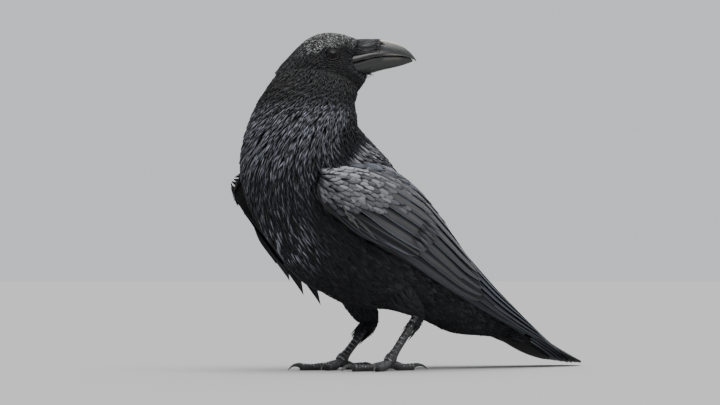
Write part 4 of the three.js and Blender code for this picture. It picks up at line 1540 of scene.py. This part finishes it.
def swell(x, height, middle, reach):
    """A bell of the given height."""
    return height * bump(x, middle, reach)


def upper_wear_and_painted_light(outer, f):
    """The upper half's rim value: worn along its edge towards the front and at the tip, a painted
    highlight along the lip near the base and along the ridge, and painted shadow in the gape and
    at the bristles' roots."""
    front = ease(f, *FRONT)
    edge = (0.14 + 0.4 * bump(f, 64, 7)) * swell(outer, *EDGE_WEAR) * front
    # a painted highlight along the ridge
    ridge = swell(outer, *CULMEN_HIGHLIGHT) * ease(f, *CULMEN_HIGHLIGHT_ENDS[0]) * (1 - ease(f, *CULMEN_HIGHLIGHT_ENDS[1]))
    rim = swell(outer, *TOMIUM_HIGHLIGHT) * (1 - front) + edge + ridge + 0.08 * ease(f, 79, 87)
    # painted shadow along the cutting edge near the base, in the gape, and then where the bristles' roots lie
    rim = rim - PAINTED_SHADOW_DEPTH * (1 - ease(outer, 0.04, 0.1)) * (1 - front)
    return rim - PAINTED_SHADOW_DEPTH * ease(outer, 0.3, 0.45) * (1 - ease(f, 26, 36))


def lower_wear_and_painted_shadow(outer, f):
    """The lower half's: a pale line under its edge near the base, worn near the tip, and painted
    shadow along its cutting edge, under the upper half.
    """
    rim = swell(outer, *LOWER_LINE) * (1 - ease(f, 40, 48))
    rim = rim + swell(outer, *LOWER_PATCH) * ease(f, 50, 54) * (1 - ease(f, 68, 74))
    # painted shadow along the cutting edge, under the upper half
    return rim - PAINTED_SHADOW_DEPTH * (1 - ease(outer, 0.03, 0.08))


def make_bill():
    """Two closed halves. Each ring is half an ellipse with a low keel at its ridge, a rounded lip
    along the cutting edge with a groove beside it. The upper half is hollow between its lips and
    has a broad ledge over its edge near the base; the lower one swells up into that hollow."""
    angle = round_columns(96)
    height, side = np.sin(angle), np.cos(angle)
    for name, (stations, end, sign) in BILL_HALVES.items():
        f = down_rows(BILL_ROOT, end, 120) + 0 * angle
        first, second, width = stations(f)
        ridge, edge = (first, second) if sign > 0 else (second, first)
        scale = width / 13
        outer = np.maximum(sign * height, 0)
        inner = np.maximum(-sign * height, 0)
        keel = swell(outer, *KEEL) * scale * (sign > 0)
        lip = swell(outer, *LIP) * scale
        ledge = swell(outer, *LEDGE) * (1 - ease(f, *LEDGE_END)) * (sign > 0)
        groove = swell(outer, *GROOVE) * scale * (1 - ease(f, *GROOVE_END))
        nick = swell(outer, *NICK) * np.sin(f * 1.9) * ease(f, *NICKS_START) * scale
        s = (width + lip + ledge - groove + nick) * np.sign(side) * np.abs(side) ** 0.93
        k = edge + (ridge - edge) * outer**0.96 + sign * keel + 1.2 * inner**2 * np.minimum(3 * scale, 1)
        points, faces, along, around = tube(in_head(f, s, k))
        wear_and_painted_light = upper_wear_and_painted_light if sign > 0 else lower_wear_and_painted_shadow
        rim = wear_and_painted_light(np.append(outer + 0 * f, [[1, 1]]), np.append(f, [BILL_ROOT, end]))
        uvs = {"shape": np.stack([around, along], -1)}
        make_piece(f"bill_{name}", points, faces, BILL, [f"bill_{name}"], uvs, {"rim": rim})


make_bill()


# Each layer's range of f, spacing, width, depth at the root and at the tip.
BRISTLE_LAYERS = (((19, 36), 1.15, 1.1, 0.0, -0.6), ((20, 33), 1.5, 0.8, -0.9, -1.3))
BRISTLE_ANGLES = (0.3, 1.6)  # from the cutting edge up to the ridge
bristle_start = by_place((0.3, 1.0, 1.5), (20, 21, 25.5))  # f by angle
bristle_end = by_place((0.25, 0.6, 1.1, 1.6), (44, 48.5, 49, 43))


def make_bristles(name, side):
    """The stiff feathers that lie forward over a nostril in two layers, longer towards the
    ridge."""
    rng = draw(f"bristles {name}")
    surface = bill_cover(side)
    tracts = []
    for f_range, step, width, depth, lift in BRISTLE_LAYERS:
        f, angle = scatter(surface, f_range, BRISTLE_ANGLES, step * 1.4, step, rng, 0.5)
        keep = f > bristle_start(angle)
        f, angle = f[keep], angle[keep]
        n = len(f)
        reach = bristle_end(angle) + rng.normal(0, 2.8, n)
        tracts.append(feathers(
            surface, "bill", f, angle, rng, heading=side * (0.05 - 0.1 * bump(angle, 0.3, 0.2)), stray=0.09,
            length=np.clip(reach - f, 5, 21), width=width, root=depth, tip=lift * rng.uniform(0.3, 1.0, n),
            rows=7, widest=0.3, point=1.4, arch=0.5, thick=0.4, twist=0.5, gloss=rng.random(n) ** 1.5,
        ))
    plumage(f"bristles_{name}", tracts, BRISTLE, [f"bristles_{name}"])


STRAY_HAIRS = 0.12  # the share of the chin's feathers that are long thin hairs


def make_chin():
    """The short feathers under the bill's root, with a few long hairs."""
    rng = draw("chin")
    f, angle = scatter(chin, (24, 36), (-0.9, 0.9), 1.9, 1.5, rng, 0.4)
    n = len(f)
    hair = rng.random(n) < STRAY_HAIRS
    tract = feathers(
        chin, "chin", f, angle, rng, stray=0.25, length=np.where(hair, 9.0, 6.0),
        width=np.where(hair, 0.5, 1.3), root=0.3, tip=np.where(hair, -3.6, -0.8), rows=5, widest=0.3,
        point=1.5, thick=0.3, twist=0.4, gloss=0.2 * rng.random(n),
    )
    plumage("chin_feathers", [tract], FACE)


for name, side in SIDES.items():
    make_bristles(name, side)
make_chin()


# ---------------------------------------------------------------- eyes and lids
CORNEA = 0.9  # how far the front of the eye stands out from the ball
CORNEA_REACH = 0.5  # in radians from the eye's axis
LID_GAP = 0.25  # between the ball and the lids
LID_THICK = 0.6
LID_SKIRT = 0.93  # the share of the lids' own radius past which they leave the ball
LID_REACH = 8.3
APERTURE = (5.2, 4.5)  # half its width and height
LID_FOLDS = 0.16
LID_BEADS = 0.1
BEAD_COUNT = 44


def ring_mesh(rings):
    """A closed ring of sections (section, corner, xyz), joined both ways round."""
    rows, sides = rings.shape[:2]
    at = np.arange(rows * sides).reshape(rows, sides)
    there, beside = np.roll(at, -1, 0), np.roll(at, -1, 1)
    faces = np.stack([at, beside, np.roll(there, -1, 1), there], -1).reshape(-1, 4)
    return rings.reshape(-1, 3), faces


def eye_point(side, reach, turn, out):
    """A point near an eye: out along its axis, and at a reach from it, turned from ahead to up."""
    ahead = col(reach * np.cos(turn)) * BILL_WAY
    up = col(reach * np.sin(turn)) * UP
    return eye_middle(side) + ahead + up + col(side * out) * HEAD_LEFT


def make_ball(name, side):
    """The eyeball: a sphere with a bulging front."""
    turn = round_columns(64)
    polar = down_rows(0.02, PI - 0.02, 60) + 0 * turn
    radius = EYE_BALL + CORNEA * bump(polar, 0, CORNEA_REACH)
    rings = eye_point(side, radius * np.sin(polar), turn + 0 * polar, radius * np.cos(polar))
    points, faces, along, around = tube(rings)
    uvs = {"shape": np.stack([around, along], -1)}
    make_piece(f"eye_{name}", points, faces, WET_EYE, [f"eye_{name}"], uvs)


def make_lids(name, side):
    """The lids: a ring that follows the ball from a rounded margin to a skirt under the feathers,
    with folds round it and beads along the margin. The lower lid's margin is the paler one."""
    turn, loop = round_columns(160).T, round_columns(36)
    inner = 1 / np.sqrt((np.cos(turn) / APERTURE[0]) ** 2 + (np.sin(turn) / APERTURE[1]) ** 2)
    inner = inner * (1 + 0.06 * bump(np.cos(turn), 1, 0.1) + 0.05 * bump(np.cos(turn), -1, 0.1))
    share = (1 - np.cos(loop)) / 2
    reach = lerp(inner, LID_REACH, share)
    shell = EYE_BALL + LID_GAP + LID_THICK
    ball_out = np.sqrt(np.maximum(shell**2 - np.minimum(reach, shell * LID_SKIRT) ** 2, 0.1))
    skirt = 0.9 * ease(reach, shell * LID_SKIRT, LID_REACH)
    margin = bump(share, 0, 0.1)
    folds = LID_FOLDS * np.sin(reach * 4.2 + 0.6 * np.sin(3 * turn)) * ease(share, 0.12, 0.3)
    beads = LID_BEADS * np.sin(BEAD_COUNT * turn) * bump(share, 0.05, 0.07)
    face = np.sin(loop)
    out = ball_out - skirt + np.where(face > 0, folds + beads, 0) + face * LID_THICK / 2 + 0.35 * margin
    lower = 0.5 - 0.5 * np.sin(turn)
    rim = (0.03 + 0.97 * lower**2) * bump(share, 0.02, 0.05)
    points, faces = ring_mesh(eye_point(side, reach, turn + 0 * reach, out))
    if side > 0:
        faces = faces[:, ::-1]
    make_piece(f"lids_{name}", points, faces, LID, values={"rim": rim.ravel()})


for name, side in SIDES.items():
    make_ball(name, side)
    make_lids(name, side)


# ---------------------------------------------------------------- legs
FLOOR_CLEAR = 0.02
PLATE_EDGE = 0.12  # the share of a plate over which it drops


def limb(path, t, angle, radius, flatten):
    """Rings round a path: the radius to the side and up, square to the way, kept above the floor."""
    at = path(t)
    way = unit(path(t + 0.005) - path(t - 0.005) + 1e-9 * UP)
    across = unit(np.stack([-way[..., 1], way[..., 0], 0 * way[..., 0]], -1))
    up = np.cross(way, across)
    points = at + col(radius * np.cos(angle)) * across + col(radius * flatten * np.sin(angle)) * up
    points[..., 2] = np.maximum(points[..., 2], FLOOR_CLEAR)
    return points


def plates(run, count):
    """A row of overlapping plates: each rises slowly along the run and drops at its far edge."""
    phase = (run * count) % 1
    return phase * (1 - ease(phase, 1 - PLATE_EDGE, 1))


def make_limb(name, path, t, angle, radius, crest, material, flatten=1.0):
    """One leg piece from its rings, with its crests as a value and its shape map."""
    points, faces, along, around = tube(limb(path, t, angle, radius, flatten))
    rim = np.append(crest + 0 * t + 0 * angle, [0, 0])
    uvs = {"shape": np.stack([around, along], -1)}
    make_piece(name, points, faces, material, [name], uvs, {"rim": rim})


tarsus_at = keyed([(0, 1.3), (0.16, 0.1), (0.5, -0.2), (0.82, 0.3), (0.93, 2), (1, 1.2)])


TARSUS_PLATES = 11
TARSUS_SCALES = 30


def straight(start, end):
    """A straight path between two points."""
    return lambda t: lerp(np.array(start, float), np.array(end, float), col(t))


def make_tarsus(side):
    """The tarsus: large overlapping plates down its front, small scales behind."""
    t, angle = down_rows(0, 1, 220), round_columns(48)
    front = ease(np.sin(angle), -0.1, 0.35)
    big = plates(t, TARSUS_PLATES)
    small = plates(t + 0.03 * np.cos(3 * angle), TARSUS_SCALES)
    seam = bump(np.sin(angle), 0.1, 0.12)
    radius = TARSUS_RADIUS + tarsus_at(t)[0] + front * 0.55 * big + (1 - front) * 0.22 * small - 0.28 * seam
    crest = front * ease(big, 0.45, 0.95) + (1 - front) * 0.4 * ease(small, 0.5, 1)
    path = straight(HEEL[side], (*FOOT[side], FOOT_HEIGHT))
    make_limb(f"tarsus_{side}", path, t, angle, radius, crest, LEG)


def along_toe(side, toe, profile):
    """A path over the floor on a toe's bearing: profile(t) gives the run and the height."""
    turn = np.radians(toe["bearing"]) * SIDES[side]
    way = np.array([np.sin(turn), -np.cos(turn), 0])

    def path(t):
        run, height = profile(t)
        return np.array([*FOOT[side], 0.0]) + col(run) * way + col(height) * UP

    return path


PLATE_LENGTH = 3.1  # of the plates on a toe
claw_at = keyed([
    # share of the claw's reach; the run as a share of it, the height of its middle
    (0, -0.05, 3.9),
    (1 / 3, 0.3, 5.6),
    (2 / 3, 0.7, 4.6),
    (1, 1, 0.9),
])


def make_toe(side, name, toe):
    """A toe, arched down from the foot, with plates on top and pads beneath."""
    length = toe["length"]
    t, angle = down_rows(0, 1, 150), round_columns(36)
    top = ease(np.sin(angle), 0.0, 0.4)
    scales = plates(t, round(length / PLATE_LENGTH))
    pads = 0.45 * np.cos(TURN * toe["pads"] * t)
    grain = 0.16 * np.sin(t * length * 3.1) * np.sin(4 * angle) * (1 - top)
    radius = lerp(toe["radius"] + 0.6, toe["radius"] - 0.5, t)
    radius = radius + pads * (1 - 0.5 * top) + 0.5 * top * scales + grain
    knuckles = [(0, 0, FOOT_HEIGHT - 1), (1 / 3, 9, 5.4)]
    knuckles += [(2 / 3, 0.55 * length, TOE_HEIGHT), (1, length, TOE_HEIGHT)]
    path = along_toe(side, toe, keyed(knuckles))
    # the plates' crests are paler only on the toe's top, a painted highlight from above
    make_limb(f"toe_{name}_{side}", path, t, angle, radius, top * ease(scales, 0.4, 0.95), LEG)


def make_claw(side, name, toe):
    """A claw from the toe's end: it tapers as a power of the way and is flatter beneath."""

    def profile(t):
        run, height = claw_at(t)
        return toe["length"] + toe["claw"] * run, height

    t, angle = down_rows(0, 1, 40), round_columns(24)
    radius = lerp(2.7, 0.35, t**0.85) * (1 - 0.12 * bump(np.sin(angle), -1, 0.3))
    # paler towards the tip, and a thin painted highlight along the top
    crest = 0.6 * ease(t, 0.75, 1) + 0.15 * bump(np.sin(angle), 1, 0.2)
    path = along_toe(side, toe, profile)
    make_limb(f"claw_{name}_{side}", path, t, angle, radius, crest, CLAW, 1.15)


for side in HEEL:
    make_tarsus(side)
    for name, toe in TOES.items():
        make_toe(side, name, toe)
        make_claw(side, name, toe)


# ---------------------------------------------------------------- camera, floor and light
def look(piece, place, target):
    """Turns a lamp or camera at a place towards a target."""
    piece.location = place
    piece.rotation_euler = (Vector(target) - Vector(place)).to_track_quat("-Z", "Y").to_euler()


CAMERA_BEARING = np.radians(50)  # from -Y towards +X, to the bird's left
CAMERA_WAY = np.array([-np.sin(CAMERA_BEARING), np.cos(CAMERA_BEARING), 0])
CAMERA_RIGHT = np.array([np.cos(CAMERA_BEARING), np.sin(CAMERA_BEARING), 0])
CAMERA_AWAY = 3500
CAMERA_ASIDE = -10.5
CAMERA_HEIGHT = 100
TARGET_HEIGHT = 175.9
SENSOR = 36.0
LENS = 166.667


def make_camera():
    """A long lens on the bird's left, at the height of its legs."""
    data = bpy.data.cameras.new("camera")
    data.sensor_width, data.lens, data.sensor_fit = SENSOR, LENS, "HORIZONTAL"
    data.clip_end = 50
    camera = bpy.data.objects.new("camera", data)
    bpy.context.scene.collection.objects.link(camera)
    middle = CAMERA_RIGHT * CAMERA_ASIDE
    place = middle - CAMERA_WAY * CAMERA_AWAY + UP * CAMERA_HEIGHT
    look(camera, placed(place), placed(middle + UP * TARGET_HEIGHT))
    bpy.context.scene.camera = camera


FLOOR_REACH = 60.0
FLOOR_GREY = 0.38


def make_floor():
    """A pale floor, wide enough to fill the view up to its horizon."""
    mesh = bpy.data.meshes.new("floor")
    corners = [(x * FLOOR_REACH, y * FLOOR_REACH, 0) for x, y in ((-1, -1), (1, -1), (1, 1), (-1, 1))]
    mesh.from_pydata(corners, [], [(0, 1, 2, 3)])
    grey = rgb(FLOOR_GREY, FLOOR_GREY, FLOOR_GREY)
    paint = new_material("pale_floor", Base_Color=grey, Roughness=0.9, Specular_IOR_Level=0.1)[0]
    mesh.materials.append(paint)
    floor = bpy.data.objects.new("floor", mesh)
    bpy.context.scene.collection.objects.link(floor)


ROOM = rgb(0.85, 0.865, 0.885)
ROOM_STRENGTH = 0.85
# Each lamp's place in metres, strength, colour and how many degrees wide it looks.
LAMPS = {
    "sky": ((0.5, -0.35, 2.4), 4.2, (1, 0.99, 0.97), 70),
    "back": ((-1.2, 1.8, 1.6), 0.5, (0.9, 0.95, 1), 40),
}
HEART = (0, 0, 0.2)  # what the lamps are aimed at


def make_light():
    """An even pale room, a very wide sky-like light from above, and a soft one behind."""
    world = bpy.data.worlds.new("studio")
    world.use_nodes = True
    background = world.node_tree.nodes["Background"].inputs
    background["Color"].default_value = ROOM
    background["Strength"].default_value = ROOM_STRENGTH
    bpy.context.scene.world = world
    for name, (place, strength, colour, width) in LAMPS.items():
        data = bpy.data.lights.new(name, "SUN")
        data.energy, data.color, data.angle = strength, colour, np.radians(width)
        lamp = bpy.data.objects.new(name, data)
        bpy.context.scene.collection.objects.link(lamp)
        look(lamp, place, HEART)


make_camera()
make_floor()
make_light()
